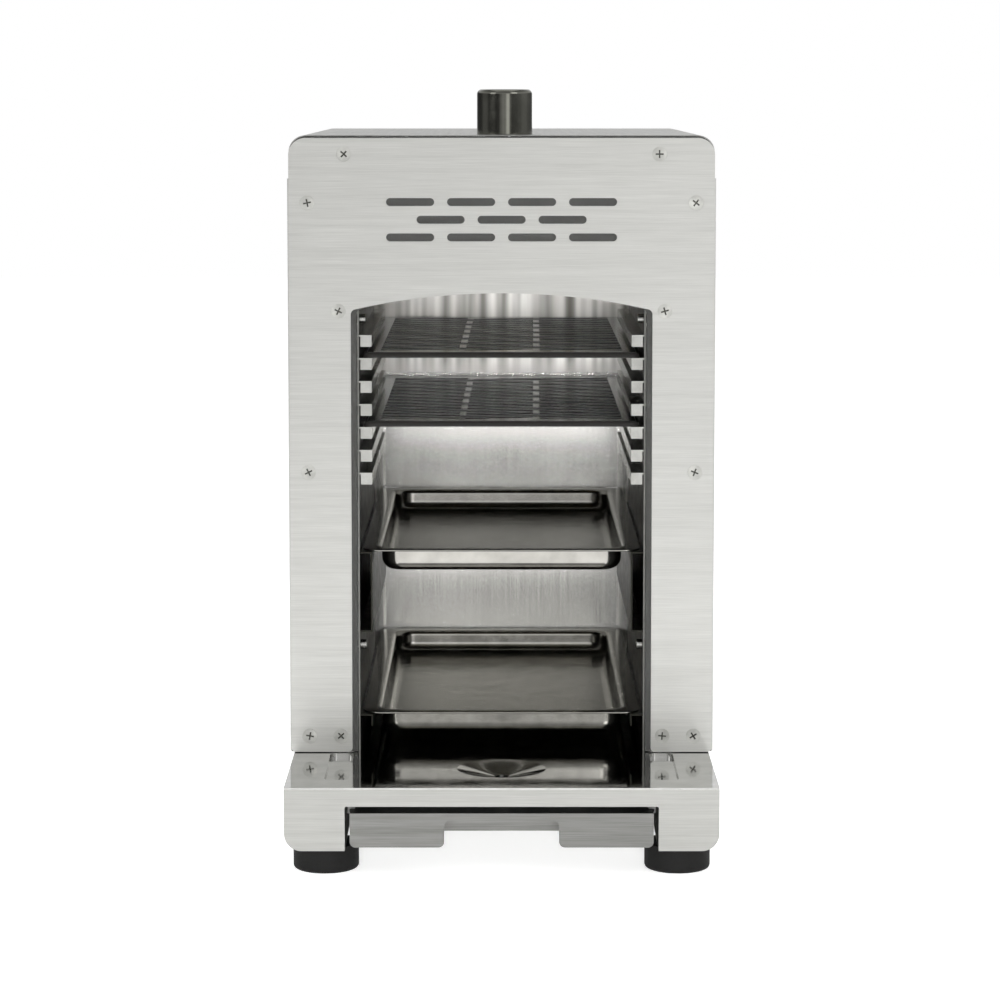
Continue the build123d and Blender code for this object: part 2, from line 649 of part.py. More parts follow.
def valve_cap():
    """The washer-like cap that keeps the spindle's collar in the neck."""
    disc = rod((KNOB_X, knob_y, neck_top), (KNOB_X, knob_y, neck_top + VALVE_CAP_HEIGHT), VALVE_NECK_RADIUS)
    hole = rod((KNOB_X, knob_y, neck_top - 1), (KNOB_X, knob_y, neck_top + 3), SPINDLE_RADIUS + CAP_CLEARANCE)
    return disc - hole


def valve_bracket():
    """The hat-shaped bracket that carries the valve on the burner box."""
    half = VALVE_HALF_WIDTH + 6
    y0, y1 = knob_y - VALVE_HALF_DEPTH + 3, knob_y + VALVE_HALF_DEPTH
    top = block(KNOB_X - half, KNOB_X + half, y0, y1, VALVE_BOTTOM_Z - 2, VALVE_BOTTOM_Z)
    bracket = top
    for side in (-1, 1):
        x0, x1 = KNOB_X + side * (half - 2), KNOB_X + side * half
        bracket += block(x0, x1, y0, y1, PLENUM_TOP_Z, VALVE_BOTTOM_Z - 2)
        bracket += block(x1, x1 + side * 9, y0, y1, PLENUM_TOP_Z, PLENUM_TOP_Z + 2)
    return bracket


def d_section(radius, flat):
    """A round section with one flat side."""
    return Circle(radius) - Pos(0, radius) * Rectangle(3 * radius, 2 * flat)


def spindle_bottom_z():
    """The spindle's lower end at rest, above the plug's socket floor."""
    return VALVE_BOTTOM_Z + PLUG_FLOOR + 0.2 + 4.0 + KNOB_TRAVEL


def valve_plug():
    """The turning plug: a cylinder with a D-shaped socket and a gas way."""
    low = VALVE_BOTTOM_Z + PLUG_FLOOR + 0.2
    axis = Plane(origin=(KNOB_X, knob_y, low))
    plug = extrude(axis * Circle(PLUG_RADIUS - RUNNING_CLEARANCE), amount=PLUG_HEIGHT)
    socket = Plane(origin=(KNOB_X, knob_y, low + 3.8))
    section = d_section(SPINDLE_RADIUS + RUNNING_CLEARANCE, SPINDLE_FLAT - RUNNING_CLEARANCE)
    plug -= extrude(socket * section, amount=PLUG_HEIGHT)
    return plug - rod((KNOB_X, knob_y - 3.2, gas_z), (KNOB_X, knob_y - 8, gas_z), 1.5)


def plug_top_z():
    """The upper face of the plug, on which the spring stands."""
    return VALVE_BOTTOM_Z + PLUG_FLOOR + 0.2 + PLUG_HEIGHT


def collar_z():
    """The lower face of the spindle's collar at rest."""
    return neck_top - COLLAR_HEIGHT - 0.3


def knob_spring():
    """The coil spring that lifts the knob, round the spindle."""
    low = plug_top_z() + SPRING_WIRE_RADIUS + 0.1
    high = collar_z() - SPRING_WIRE_RADIUS - 0.1
    coil = Pos(KNOB_X, knob_y, low) * Helix((high - low) / SPRING_TURNS, high - low, SPRING_RADIUS)
    start = Plane(origin=coil @ 0, z_dir=coil % 0)
    return sweep(start * Circle(SPRING_WIRE_RADIUS), path=coil, is_frenet=True)


def knob_spindle():
    """The D-shaped spindle with the collar that the spring lifts."""
    low = spindle_bottom_z()
    top = KNOB_TOP_Z - KNOB_WALL - 6.0
    section = d_section(SPINDLE_RADIUS, SPINDLE_FLAT)
    lower = extrude(Plane(origin=(KNOB_X, knob_y, low)) * section, amount=plug_top_z() - low)
    upper = rod((KNOB_X, knob_y, plug_top_z()), (KNOB_X, knob_y, top), SPINDLE_RADIUS)
    flat_y = knob_y + SPINDLE_RADIUS - SPINDLE_FLAT
    flat = block(KNOB_X - 4, KNOB_X + 4, flat_y, knob_y + 6, neck_top + 6, top + 1)
    # The flat is carried a travel's length above the plug, so that it still slides when pushed
    clear = block(KNOB_X - 4, KNOB_X + 4, flat_y, knob_y + 6, low, plug_top_z() + KNOB_TRAVEL + 0.5)
    collar = rod((KNOB_X, knob_y, collar_z()), (KNOB_X, knob_y, collar_z() + COLLAR_HEIGHT), COLLAR_RADIUS)
    return lower + (upper - flat - clear) + collar


def control_knob():
    """The metal knob: a hollow cup with a D-bored boss."""
    cup = rod((KNOB_X, knob_y, KNOB_BOTTOM_Z), (KNOB_X, knob_y, KNOB_TOP_Z), KNOB_RADIUS)
    cup = fillet(cup.edges().group_by(Axis.Z)[-1], KNOB_TOP_RADIUS)
    ceiling = KNOB_TOP_Z - KNOB_WALL
    cup -= rod((KNOB_X, knob_y, KNOB_BOTTOM_Z - 1), (KNOB_X, knob_y, ceiling), KNOB_RADIUS - KNOB_WALL)
    boss = rod((KNOB_X, knob_y, ceiling - KNOB_BOSS_DROP), (KNOB_X, knob_y, ceiling), KNOB_BOSS_RADIUS)
    section = d_section(SPINDLE_RADIUS + RUNNING_CLEARANCE, SPINDLE_FLAT - RUNNING_CLEARANCE)
    socket = Plane(origin=(KNOB_X, knob_y, ceiling - KNOB_BOSS_DROP - 1)) * section
    boss -= extrude(socket, amount=KNOB_BOSS_DROP + 1 - 5.5)
    grub = grub_axis()
    return cup + boss - rod((KNOB_X, knob_y + 1, grub), (KNOB_X, knob_y + 20, grub), 1.5 + RUNNING_CLEARANCE)


def grub_axis():
    """Height of the grub screw in the knob's boss."""
    return KNOB_TOP_Z - KNOB_WALL - KNOB_BOSS_DROP + 4.5


def knob_grub_screw():
    """The small screw that bears on the spindle's flat."""
    z = grub_axis()
    inner = knob_y + SPINDLE_RADIUS - SPINDLE_FLAT
    screw = rod((KNOB_X, inner, z), (KNOB_X, inner + 4.5, z), 1.5)
    return screw - rod((KNOB_X, inner + 3.0, z), (KNOB_X, inner + 5, z), 0.7)


def gas_jet():
    """The brass jet in front of the mixing tube."""
    start = knob_y + VALVE_HALF_DEPTH + BOSS_LENGTH
    jet = hex_bar((KNOB_X, start, gas_z), (KNOB_X, start + JET_LENGTH, gas_z), 2 * JET_RADIUS)
    tip = Plane(origin=(KNOB_X, start + JET_LENGTH + JET_TIP / 2, gas_z), z_dir=(0, 1, 0))
    jet += tip * Cone(JET_RADIUS - 1, 1.5, JET_TIP)
    jet -= rod((KNOB_X, start - 1, gas_z), (KNOB_X, start + JET_LENGTH, gas_z), PORT_RADIUS)
    return jet - rod((KNOB_X, start, gas_z), (KNOB_X, start + JET_LENGTH + 5, gas_z), 0.5)


def supply_pipe():
    """The bent gas pipe from the rear inlet to the valve."""
    start_x = KNOB_X + VALVE_HALF_WIDTH + BOSS_LENGTH
    end_y = sheath_rear_y - INLET_BODY_LENGTH + INLET_SOCKET_DEPTH
    path = FilletPolyline((start_x, knob_y, gas_z), (PIPE_X, knob_y, gas_z), (PIPE_X, end_y, gas_z),
                          radius=PIPE_BEND_RADIUS)
    ring = Circle(PIPE_RADIUS) - Circle(PIPE_BORE_RADIUS)
    return sweep(Plane(origin=path @ 0, z_dir=path % 0) * ring, path=path)


def pipe_nut():
    """The nut that holds the pipe on the valve's inlet boss."""
    start_x = KNOB_X + VALVE_HALF_WIDTH + BOSS_LENGTH
    nut = hex_bar((start_x, knob_y, gas_z), (start_x + 9, knob_y, gas_z), 14.0)
    return nut - rod((start_x - 1, knob_y, gas_z), (start_x + 10, knob_y, gas_z), PIPE_RADIUS + NUT_CLEARANCE)


def gas_inlet_nipple():
    """The inlet fitting: a stem through the rear panel, then a smaller thread for the hose."""
    front = sheath_rear_y - INLET_BODY_LENGTH
    shoulder = rear_y + LOCKNUT_HEIGHT + INLET_STEM_PAST_NUT
    end = rear_y + INLET_REACH
    nipple = hex_bar((PIPE_X, front, gas_z), (PIPE_X, sheath_rear_y, gas_z), INLET_HEX)
    nipple += rod((PIPE_X, sheath_rear_y, gas_z), (PIPE_X, shoulder, gas_z), INLET_STEM_RADIUS)
    thread = rod((PIPE_X, shoulder, gas_z), (PIPE_X, end, gas_z), INLET_THREAD_RADIUS)
    nipple += chamfer(thread.edges().group_by(Axis.Y)[-1], INLET_CHAMFER)
    nipple -= rod((PIPE_X, front - 1, gas_z), (PIPE_X, front + INLET_SOCKET_DEPTH, gas_z),
                  PIPE_RADIUS + NUT_CLEARANCE)
    return nipple - rod((PIPE_X, front, gas_z), (PIPE_X, end + 1, gas_z), PIPE_BORE_RADIUS)


def inlet_locknut():
    """The nut that clamps the inlet fitting to the rear panel."""
    nut = hex_bar((PIPE_X, rear_y, gas_z), (PIPE_X, rear_y + LOCKNUT_HEIGHT, gas_z), LOCKNUT_HEX)
    hole = INLET_STEM_RADIUS + NUT_CLEARANCE
    return nut - rod((PIPE_X, rear_y - 1, gas_z), (PIPE_X, rear_y + LOCKNUT_HEIGHT + 1, gas_z), hole)


def piezo_igniter():
    """The spark box on the valve's left side."""
    x1 = KNOB_X - VALVE_HALF_WIDTH
    box = block(x1 - 14, x1, knob_y - 8, knob_y + 8, VALVE_BOTTOM_Z + 2, valve_top + 4)
    return fillet(box.edges().filter_by(Axis.Z), 1.5)


def probe(side, radius, top_z, tip_z):
    """A round rod through the roof with a collar that sits on it."""
    x, y = side * PROBE_FROM_MIDDLE, panel_y + PROBE_FROM_PANEL
    body = rod((x, y, tip_z), (x, y, top_z), radius)
    return body + rod((x, y, roof_top), (x, y, roof_top + 3), PROBE_COLLAR_RADIUS)


def ignition_electrode():
    """The spark electrode: a ceramic rod with a thin steel tip."""
    x, y = -PROBE_FROM_MIDDLE, panel_y + PROBE_FROM_PANEL
    ceramic = probe(-1, 3.5, roof_top + 36, ROOF_Z - 2)
    return ceramic + rod((x, y, ROOF_Z - PROBE_DROP), (x, y, ROOF_Z), 0.9)


def thermocouple():
    """The flame sensor beside the burner."""
    return probe(1, 3.0, roof_top + 22, ROOF_Z - PROBE_DROP)


def lead(points, radius, bend):
    """A lead that follows straight runs joined by arcs."""
    path = FilletPolyline(*points, radius=bend)
    return sweep(Plane(origin=path @ 0, z_dir=path % 0) * Circle(radius), path=path)


def ignition_lead():
    """The spark box's insulated lead to the electrode."""
    x0 = KNOB_X - VALVE_HALF_WIDTH - 7
    x1, y1 = -PROBE_FROM_MIDDLE, panel_y + PROBE_FROM_PANEL
    z = VALVE_BOTTOM_Z + 10
    return lead([(x0, knob_y - 8, z), (x0, y1, z), (x1, y1, z), (x1, y1, roof_top + 36)], 1.5, 6.0)


def thermocouple_lead():
    """The sensor's thin lead to the valve."""
    x0, y0 = PROBE_FROM_MIDDLE, panel_y + PROBE_FROM_PANEL
    x1 = KNOB_X + 8
    z = VALVE_BOTTOM_Z + 8
    valve_front = knob_y - VALVE_HALF_DEPTH
    return lead([(x0, y0, roof_top + 22), (x0, y0, z), (x1, y0, z), (x1, valve_front, z)], 1.0, 5.0)


def rack_bolt_spots():
    """Where the rack bolts stand, as Y and Z."""
    depths = (rack_y + RACK_BOLT_INSET, rack_y + RACK_LENGTH - RACK_BOLT_INSET)
    return [(y, z) for y in depths for z in (RACK_BOLT_UPPER_Z, RACK_BOLT_LOWER_Z)]


def rack():
    """The right rack: an upright sheet that carries the rails."""
    sheet = block(rack_half, rack_half + RACK_SHEET, rack_y, rack_y + RACK_LENGTH, BASE_TOP_Z, RACK_TOP_Z)
    for y, z in rack_bolt_spots():
        sheet -= rod((rack_half - 1, y, z), (rack_half + 3, y, z), RACK_BOLT_RADIUS + NUT_CLEARANCE)
    return sheet


def rail(top_z, lip):
    """A right-hand rail: a ledge with a lip turned down at its inner edge."""
    inner = rack_half - RAIL_REACH
    y0, y1 = rack_y, rack_y + RACK_LENGTH
    ledge = block(inner, rack_half, y0, y1, top_z - RAIL_SHEET, top_z)
    return ledge + block(inner, inner + RAIL_SHEET, y0, y1, top_z - lip, top_z)


def front_tab(top_z):
    """The tab that a grate rail's front end is closed with."""
    inner = rack_half - RAIL_REACH
    return block(inner, rack_half - RAIL_TAB_GAP, rack_y, rack_y + RAIL_SHEET, top_z - RAIL_LIP, top_z)


def grate_rail_set():
    """The right rack's grate rails, each closed by a tab in front."""
    return [rail(z, RAIL_LIP) + front_tab(z) for z in grate_rails]


def tray_rail_set():
    """The right rack's deep upper and plain lower tray rail."""
    inner = rack_half - RAIL_REACH
    deep = rail(tray_rails[0], BOX_RAIL_LIP)
    bottom = tray_rails[0] - BOX_RAIL_LIP
    deep += block(inner, rack_half, rack_y, rack_y + RACK_LENGTH, bottom, bottom + RAIL_SHEET)
    return [deep, rail(tray_rails[1], RAIL_LIP)]


def rack_bolts():
    """Bolts through the racks into the chamber walls, with their spacers."""
    bolts = []
    for y, z in rack_bolt_spots():
        x = rack_half - RACK_BOLT_HEAD
        head = rod((x, y, z), (rack_half, y, z), RACK_BOLT_HEAD_RADIUS)
        head = fillet(head.edges().group_by(Axis.X)[0], 0.8)
        spacer = rod((rack_half + RACK_SHEET, y, z), (liner_half, y, z), RACK_BOLT_HEAD_RADIUS)
        bolt = head + spacer + rod((x + 1, y, z), (liner_half + 4, y, z), RACK_BOLT_RADIUS)
        bolts += [bolt, mirrored(bolt)]
    return bolts


def grate_slots():
    """The slanting slots as a sketch: every second row is bridged in two places."""
    x_end = grate_width / 2 - GRATE_SIDE_BORDER
    field = rectangle(-x_end, x_end, GRATE_FRONT_BORDER, TRAY_LENGTH - GRATE_REAR_BORDER)
    bar = Pos(0, TRAY_LENGTH / 2) * Rot(0, 0, -BRIDGE_SLANT) * Rectangle(BRIDGE_WIDTH, 1.1 * TRAY_LENGTH)
    bars = [Pos(side * BRIDGE_FROM_MIDDLE, 0) * bar for side in (-1, 1)]
    slots = []
    for row, y in enumerate(slot_rows()):
        slot = Pos(0, y) * Rot(0, 0, SLOT_SLANT) * Rectangle(2 * grate_width, SLOT_WIDTH)
        slot = slot & field
        slot = slot - bars if row % 2 else slot
        slots += [piece for piece in slot.faces() if piece.area > 3 * SLOT_WIDTH ** 2]
    return slots


def slot_rows():
    """Where each slot row crosses the grate's middle, measured from its front edge."""
    count = int((TRAY_LENGTH + grate_width * tan(radians(SLOT_SLANT))) / SLOT_PITCH)
    first = (TRAY_LENGTH - (count - 1) * SLOT_PITCH) / 2
    return [first + row * SLOT_PITCH for row in range(count)]


def grate_grooves(top_z):
    """Shallow round-bottomed grooves along the bars between the slots, in one place per bar."""
    radius = (GROOVE_WIDTH ** 2 / 4 + GROOVE_DEPTH ** 2) / (2 * GROOVE_DEPTH)
    x_end = grate_width / 2 - GRATE_SIDE_BORDER
    y0, y1 = GRATE_FRONT_BORDER, TRAY_LENGTH - GRATE_REAR_BORDER
    field = block(-x_end, x_end, insert_y + y0, insert_y + y1, top_z - 1, top_z + 1)
    lands = []
    for row, y in enumerate(slot_rows()):
        if row % 2 == 0:
            continue
        for side in (-1, 1):
            x = side * BRIDGE_FROM_MIDDLE + (y - TRAY_LENGTH / 2) * tan(radians(BRIDGE_SLANT))
            middle = insert_y + y + x * tan(radians(SLOT_SLANT))
            lands.append(block(x - BRIDGE_WIDTH / 2, x + BRIDGE_WIDTH / 2,
                               middle - SLOT_PITCH / 2, middle + SLOT_PITCH / 2, top_z - 2, top_z + 2))
    direction = Vector(cos(radians(SLOT_SLANT)), sin(radians(SLOT_SLANT)), 0)
    grooves = []
    for y in slot_rows()[:-1]:
        middle = Vector(0, insert_y + y + SLOT_PITCH / 2, top_z + radius - GROOVE_DEPTH)
        start = middle - direction * grate_width
        end = middle + direction * grate_width
        groove = rod(start, end, radius) & field
        grooves.append(groove - lands)
    return grooves


def grate_block(inset, bottom_z, top_z):
    """A grate's outside, or its hollow when inset, with rounded upper edges."""
    half = grate_width / 2 - inset
    outline = rectangle(-half, half, insert_y + inset, insert_y + TRAY_LENGTH - inset)
    outline = fillet(outline.vertices(), GRATE_CORNER_RADIUS - inset)
    solid = flat_plate(outline, bottom_z, top_z - bottom_z)
    return fillet(solid.edges().group_by(Axis.Z)[-1], GRATE_RIM_RADIUS - inset)


def grate(rail_z):
    """A slotted plate whose turned-down edges stand on the rails at rail_z."""
    top_z = rail_z + GRATE_RIM
    plate = grate_block(0, rail_z, top_z) - grate_block(GRATE_SHEET, rail_z - 1, top_z - GRATE_SHEET)
    slots = Pos(0, insert_y) * (Sketch() + grate_slots())
    return plate - flat_plate(slots, rail_z - 1, GRATE_RIM + 2) - grate_grooves(top_z)


def tray(rim_z):
    """A pressed tray: a flat flange, upright walls and a rounded floor edge."""
    middle_y = insert_y + TRAY_LENGTH / 2
    body_w, body_l = TRAY_WIDTH - 2 * TRAY_FLANGE, TRAY_LENGTH - 2 * TRAY_FLANGE
    flange = Pos(0, middle_y) * RectangleRounded(TRAY_WIDTH, TRAY_LENGTH, TRAY_CORNER_RADIUS)
    outer = Pos(0, middle_y) * RectangleRounded(body_w, body_l, TRAY_BODY_RADIUS)
    inner_w, inner_l = body_w - 2 * TRAY_SHEET, body_l - 2 * TRAY_SHEET
    inner = Pos(0, middle_y) * RectangleRounded(inner_w, inner_l, TRAY_BODY_RADIUS - TRAY_SHEET)
    shell = flat_plate(flange, rim_z - TRAY_SHEET, TRAY_SHEET)
    well = flat_plate(outer, rim_z - TRAY_DEPTH, TRAY_DEPTH - TRAY_SHEET)
    well = fillet(well.edges().group_by(Axis.Z)[0], TRAY_FLOOR_RADIUS)
    hollow = flat_plate(inner, rim_z - TRAY_DEPTH + TRAY_SHEET, TRAY_DEPTH)
    hollow = fillet(hollow.edges().group_by(Axis.Z)[0], TRAY_FLOOR_RADIUS - TRAY_SHEET)
    shell = shell + well - hollow
    mouth = [e for e in shell.edges() if abs(e.center().Z - rim_z) < 0.01 and is_inside_flange(e)]
    return fillet(mouth, TRAY_LIP_RADIUS)


def is_inside_flange(edge):
    """Whether an edge lies on the tray's mouth, not on its outer rim."""
    box = edge.bounding_box()
    limit_x = TRAY_WIDTH / 2 - TRAY_FLANGE + 0.1
    return max(abs(box.min.X), abs(box.max.X)) < limit_x and box.min.Y > insert_y + TRAY_FLANGE - 0.1


def base_section(half, bottom, radius):
    """The base's rounded U section in X and Z, closed at the top of the walls."""
    section = rectangle(-half, half, bottom, plate_bottom)
    return fillet(section.vertices().group_by(Axis.Y)[0], radius)


def base_shell():
    """The base: a bent sheet with side walls, bottom flanges and end walls."""
    outer = base_section(base_half, FOOT_HEIGHT, BASE_CORNER_RADIUS)
    inner = base_section(base_half - BASE_SHEET, FOOT_HEIGHT + BASE_SHEET, BASE_CORNER_RADIUS - BASE_SHEET)
    mouth = rectangle(-opening_half, opening_half, 0, FOOT_HEIGHT + 2 * BASE_SHEET)
    shell = along_y(outer - inner - mouth, base_y, rear_y)
    opening = rectangle(-opening_half, opening_half, 0, BASE_OPENING_TOP_Z)
    opening = fillet(opening.vertices().group_by(Axis.Y)[-1], BASE_OPENING_RADIUS)
    shell += along_y(outer - opening, base_y, base_y + BASE_SHEET)
    shell += along_y(outer - mouth, rear_y - BASE_SHEET, rear_y)
    for x, y in foot_spots():
        shell -= rod((x, y, 0), (x, y, FOOT_HEIGHT + 3), FOOT_SCREW_RADIUS + 0.2)
    return shell


def gutter_outline(grow):
    """One side gutter seen from above, grown by the sheet's thickness for its outside."""
    x0 = window_half + GUTTER_FROM_WINDOW
    y0, y1 = base_y + GUTTER_FRONT_BORDER, panel_y - GUTTER_FROM_PANEL
    gutter = rectangle(x0 - grow, x0 + GUTTER_WIDTH + grow, y0 - grow, y1 + grow)
    return fillet(gutter.vertices(), GUTTER_RADIUS + grow)


def base_top_plate():
    """The polished plate under everything, with side gutters and a drain funnel."""
    plate = block(-base_half, base_half, base_y, rear_y, plate_bottom, BASE_TOP_Z)
    sheet = BASE_PLATE_SHEET
    drain_y = panel_y - FUNNEL_FROM_PANEL
    middle_z = BASE_TOP_Z - FUNNEL_DEPTH / 2
    throat, mouth = FUNNEL_THROAT_RADIUS, FUNNEL_RADIUS
    outside = Pos(0, drain_y, middle_z - sheet) * Cone(throat + sheet, mouth + sheet, FUNNEL_DEPTH)
    inside = Pos(0, drain_y, middle_z) * Cone(throat, mouth, FUNNEL_DEPTH)
    trough = flat_plate(gutter_outline(sheet), plate_bottom - GUTTER_DEPTH, GUTTER_DEPTH)
    hollow = flat_plate(gutter_outline(0), BASE_TOP_Z - GUTTER_DEPTH, GUTTER_DEPTH + 1)
    plate += [outside, trough, mirrored(trough)]
    plate -= [inside, hollow, mirrored(hollow)]
    return plate - rod((0, drain_y, plate_bottom - 10), (0, drain_y, BASE_TOP_Z), FUNNEL_DRAIN_RADIUS)


def base_stiffeners():
    """Two channels under the plate that tie the base's side walls together."""
    half = base_half - BASE_SHEET
    low = plate_bottom - STIFFENER_DROP
    bars = []
    for y0 in (drawer_rear_y + STIFFENER_GAP, rear_y - STIFFENER_FROM_REAR):
        y1 = y0 + STIFFENER_WIDTH
        bar = block(-half, half, y0, y1, low, plate_bottom)
        hollow_y0, hollow_y1 = y0 + STIFFENER_SHEET, y1 - STIFFENER_SHEET
        bar -= block(-half - 1, half + 1, hollow_y0, hollow_y1, low - 1, plate_bottom - STIFFENER_SHEET)
        bars.append(bar)
    return bars


def drip_drawer():
    """The drawer: a folded pan with a fascia and a finger notch."""
    sheet = DRAWER_SHEET
    face = rectangle(-drawer_half, drawer_half, DRAWER_FACE_BOTTOM_Z, DRAWER_TOP_Z)
    notch = rectangle(-DRAWER_NOTCH_HALF, DRAWER_NOTCH_HALF, 0, DRAWER_NOTCH_TOP_Z)
    notch = fillet(notch.vertices().group_by(Axis.Y)[-1], DRAWER_NOTCH_RADIUS)
    face = face - notch
    face = fillet(face.vertices().group_by(Axis.Y)[0], DRAWER_NOTCH_RADIUS)
    front_y = base_y + 0.5
    fascia = wall_plate(face, front_y, sheet)
    pan_y = base_y + DRAWER_PAN_SETBACK
    pan = block(-drawer_pan_half, drawer_pan_half, pan_y, drawer_rear_y, DRAWER_PAN_BOTTOM_Z, DRAWER_TOP_Z)
    rim = block(-drawer_half, drawer_half, front_y, drawer_rear_y, DRAWER_TOP_Z - sheet, DRAWER_TOP_Z)
    hollow = block(-drawer_pan_half + sheet, drawer_pan_half - sheet, pan_y + sheet, drawer_rear_y - sheet,
                   DRAWER_PAN_BOTTOM_Z + sheet, DRAWER_TOP_Z + 1)
    return pan + rim + fascia - hollow


def drawer_runner():
    """The right C-shaped runner that hangs from the plate and holds the drawer's rim."""
    y0, y1 = base_y + 12.0, drawer_rear_y
    web = drawer_half + RUNNER_GAP * 2
    inner = drawer_pan_half + 0.8
    low_top = DRAWER_TOP_Z - DRAWER_SHEET - RUNNER_GAP
    high_bottom = DRAWER_TOP_Z + RUNNER_GAP
    runner = block(web, web + RUNNER_SHEET, y0, y1, low_top - RUNNER_SHEET, plate_bottom - GUTTER_DEPTH)
    runner += block(web, web + RUNNER_SHEET, panel_y, y1, plate_bottom - GUTTER_DEPTH, plate_bottom)
    runner += block(inner, web, y0, y1, low_top - RUNNER_SHEET, low_top)
    return runner + block(inner, web, y0, y1, high_bottom, high_bottom + RUNNER_SHEET)


def foot_spots():
    """Where the feet stand, as X and Y."""
    x = base_half - FOOT_FROM_SIDE
    return [(side * x, y) for y in (base_y + FOOT_FROM_END, rear_y - FOOT_FROM_END) for side in (-1, 1)]


def foot(x, y):
    """A rubber foot with a counterbored screw hole."""
    rubber = rod((x, y, 0), (x, y, FOOT_HEIGHT), FOOT_RADIUS)
    rubber = fillet(rubber.edges().group_by(Axis.Z)[0], FOOT_EDGE_RADIUS)
    rubber -= rod((x, y, -1), (x, y, FOOT_BORE_DEPTH), FOOT_BORE_RADIUS)
    return rubber - rod((x, y, 0), (x, y, FOOT_HEIGHT + 1), FOOT_SCREW_RADIUS + NUT_CLEARANCE)


def foot_screws():
    """One screw up through each foot."""
    screws = []
    for x, y in foot_spots():
        head_z = FOOT_BORE_DEPTH - FOOT_SCREW_HEAD
        head = rod((x, y, head_z), (x, y, FOOT_BORE_DEPTH), FOOT_SCREW_HEAD_RADIUS)
        shank = rod((x, y, FOOT_BORE_DEPTH), (x, y, FOOT_HEIGHT + BASE_SHEET + 6), FOOT_SCREW_RADIUS)
        socket = hex_bar((x, y, head_z - 1), (x, y, head_z + 2), 3.0)
        screws.append(head + shank - socket)
    return screws


def foot_nuts():
    """The nuts inside the base that hold the feet."""
    nuts = []
    low = FOOT_HEIGHT + BASE_SHEET
    for x, y in foot_spots():
        nut = hex_bar((x, y, low), (x, y, low + FOOT_NUT_HEIGHT), NUT_HEX)
        nuts.append(nut - rod((x, y, low - 1), (x, y, low + 6), FOOT_SCREW_RADIUS + NUT_CLEARANCE))
    return nuts


def housing_brackets():
    """Four angles that stand the outer sides on the base plate."""
    angles = []
    for y in (panel_y + 20.0, rear_y - 50.0):
        upright = block(panel_half - 1.5, panel_half, y, y + 30, BASE_TOP_Z, BASE_TOP_Z + 22)
        tread = block(panel_half - 22, panel_half - 1.5, y, y + 30, BASE_TOP_Z, BASE_TOP_Z + 1.5)
        angle = upright + tread
        angles += [angle, mirrored(angle)]
    return angles


def build():
    """Every node of the grill by name, each a solid or a list of solids."""
    side, liner, upright, runner = side_panel(), liner_side(), rack(), drawer_runner()
    grate_set, tray_set = grate_rail_set(), tray_rail_set()
    feet = [foot(x, y) for x, y in foot_spots()]
    return {
        "front_panel": front_panel(),
        "front_frame": front_frame(),
        "panel_screws": panel_screws(),
        "panel_nuts": panel_nuts(),
        "top_cover": top_cover(),
        "side_panel_right": side,
        "side_panel_left": mirrored(side),
        "rear_panel": rear_panel(),
        "rear_screws": rear_screws(),
        "liner_right": liner,
        "liner_left": mirrored(liner),
        "liner_back": liner_back(),
        "liner_spacers": liner_spacers(),
        "chamber_roof": chamber_roof(),
        "burner_tiles": burner_tiles(),
        "burner_plenum": burner_plenum(),
        "venturi_tube": venturi_tube(),
        "gas_jet": gas_jet(),
        "valve_body": valve_body(),
        "valve_cap": valve_cap(),
        "valve_bracket": valve_bracket(),
        "supply_pipe": supply_pipe(),
        "pipe_nut": pipe_nut(),
        "gas_inlet_nipple": gas_inlet_nipple(),
        "inlet_locknut": inlet_locknut(),
        "piezo_igniter": piezo_igniter(),
        "ignition_electrode": ignition_electrode(),
        "ignition_lead": ignition_lead(),
        "thermocouple": thermocouple(),
        "thermocouple_lead": thermocouple_lead(),
        "rack_right": upright,
        "rack_left": mirrored(upright),
        "grate_rails_right": grate_set,
        "grate_rails_left": [mirrored(one) for one in grate_set],
        "tray_rails_right": tray_set,
        "tray_rails_left": [mirrored(one) for one in tray_set],
        "rack_bolts": rack_bolts(),
        "base_shell": base_shell(),
        "base_top_plate": base_top_plate(),
        "base_stiffeners": base_stiffeners(),
        "drawer_runner_right": runner,
        "drawer_runner_left": mirrored(runner),
        "housing_brackets": housing_brackets(),
        "foot_front_left": feet[0],
        "foot_front_right": feet[1],
        "foot_rear_left": feet[2],
        "foot_rear_right": feet[3],
        "foot_screws": foot_screws(),
        "foot_nuts": foot_nuts(),
        "valve_plug": valve_plug(),
        "knob_spring": knob_spring(),
        "control_knob": control_knob(),
        "knob_spindle": knob_spindle(),
        "knob_grub_screw": knob_grub_screw(),
        "grate_upper": grate(grate_rails[UPPER_GRATE_LEVEL]),
        "grate_lower": grate(grate_rails[LOWER_GRATE_LEVEL]),
        "tray_upper": tray(TRAY_UPPER_RIM_Z),
        "tray_lower": tray(TRAY_LOWER_RIM_Z),
        "drip_drawer": drip_drawer(),
    }


def write(nodes):
    """Write each node to its own STEP file; a list becomes a group of separate solids."""
    os.makedirs("parts", exist_ok=True)
    for name, shape in nodes.items():
        group = Compound(children=[Part() + one for one in shape]) if isinstance(shape, list) else shape
        export_step(group, f"parts/{name}.step")


write(build())
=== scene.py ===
"""The looks of an overhead gas grill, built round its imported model.

Lengths are in metres, and sizes that a maker would state are written in millimetres times MM. The open front
looks along -Y. Each sub-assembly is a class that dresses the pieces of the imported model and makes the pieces
that it adds.
"""

import logging
import math
from dataclasses import dataclass
from enum import Enum
from typing import Any

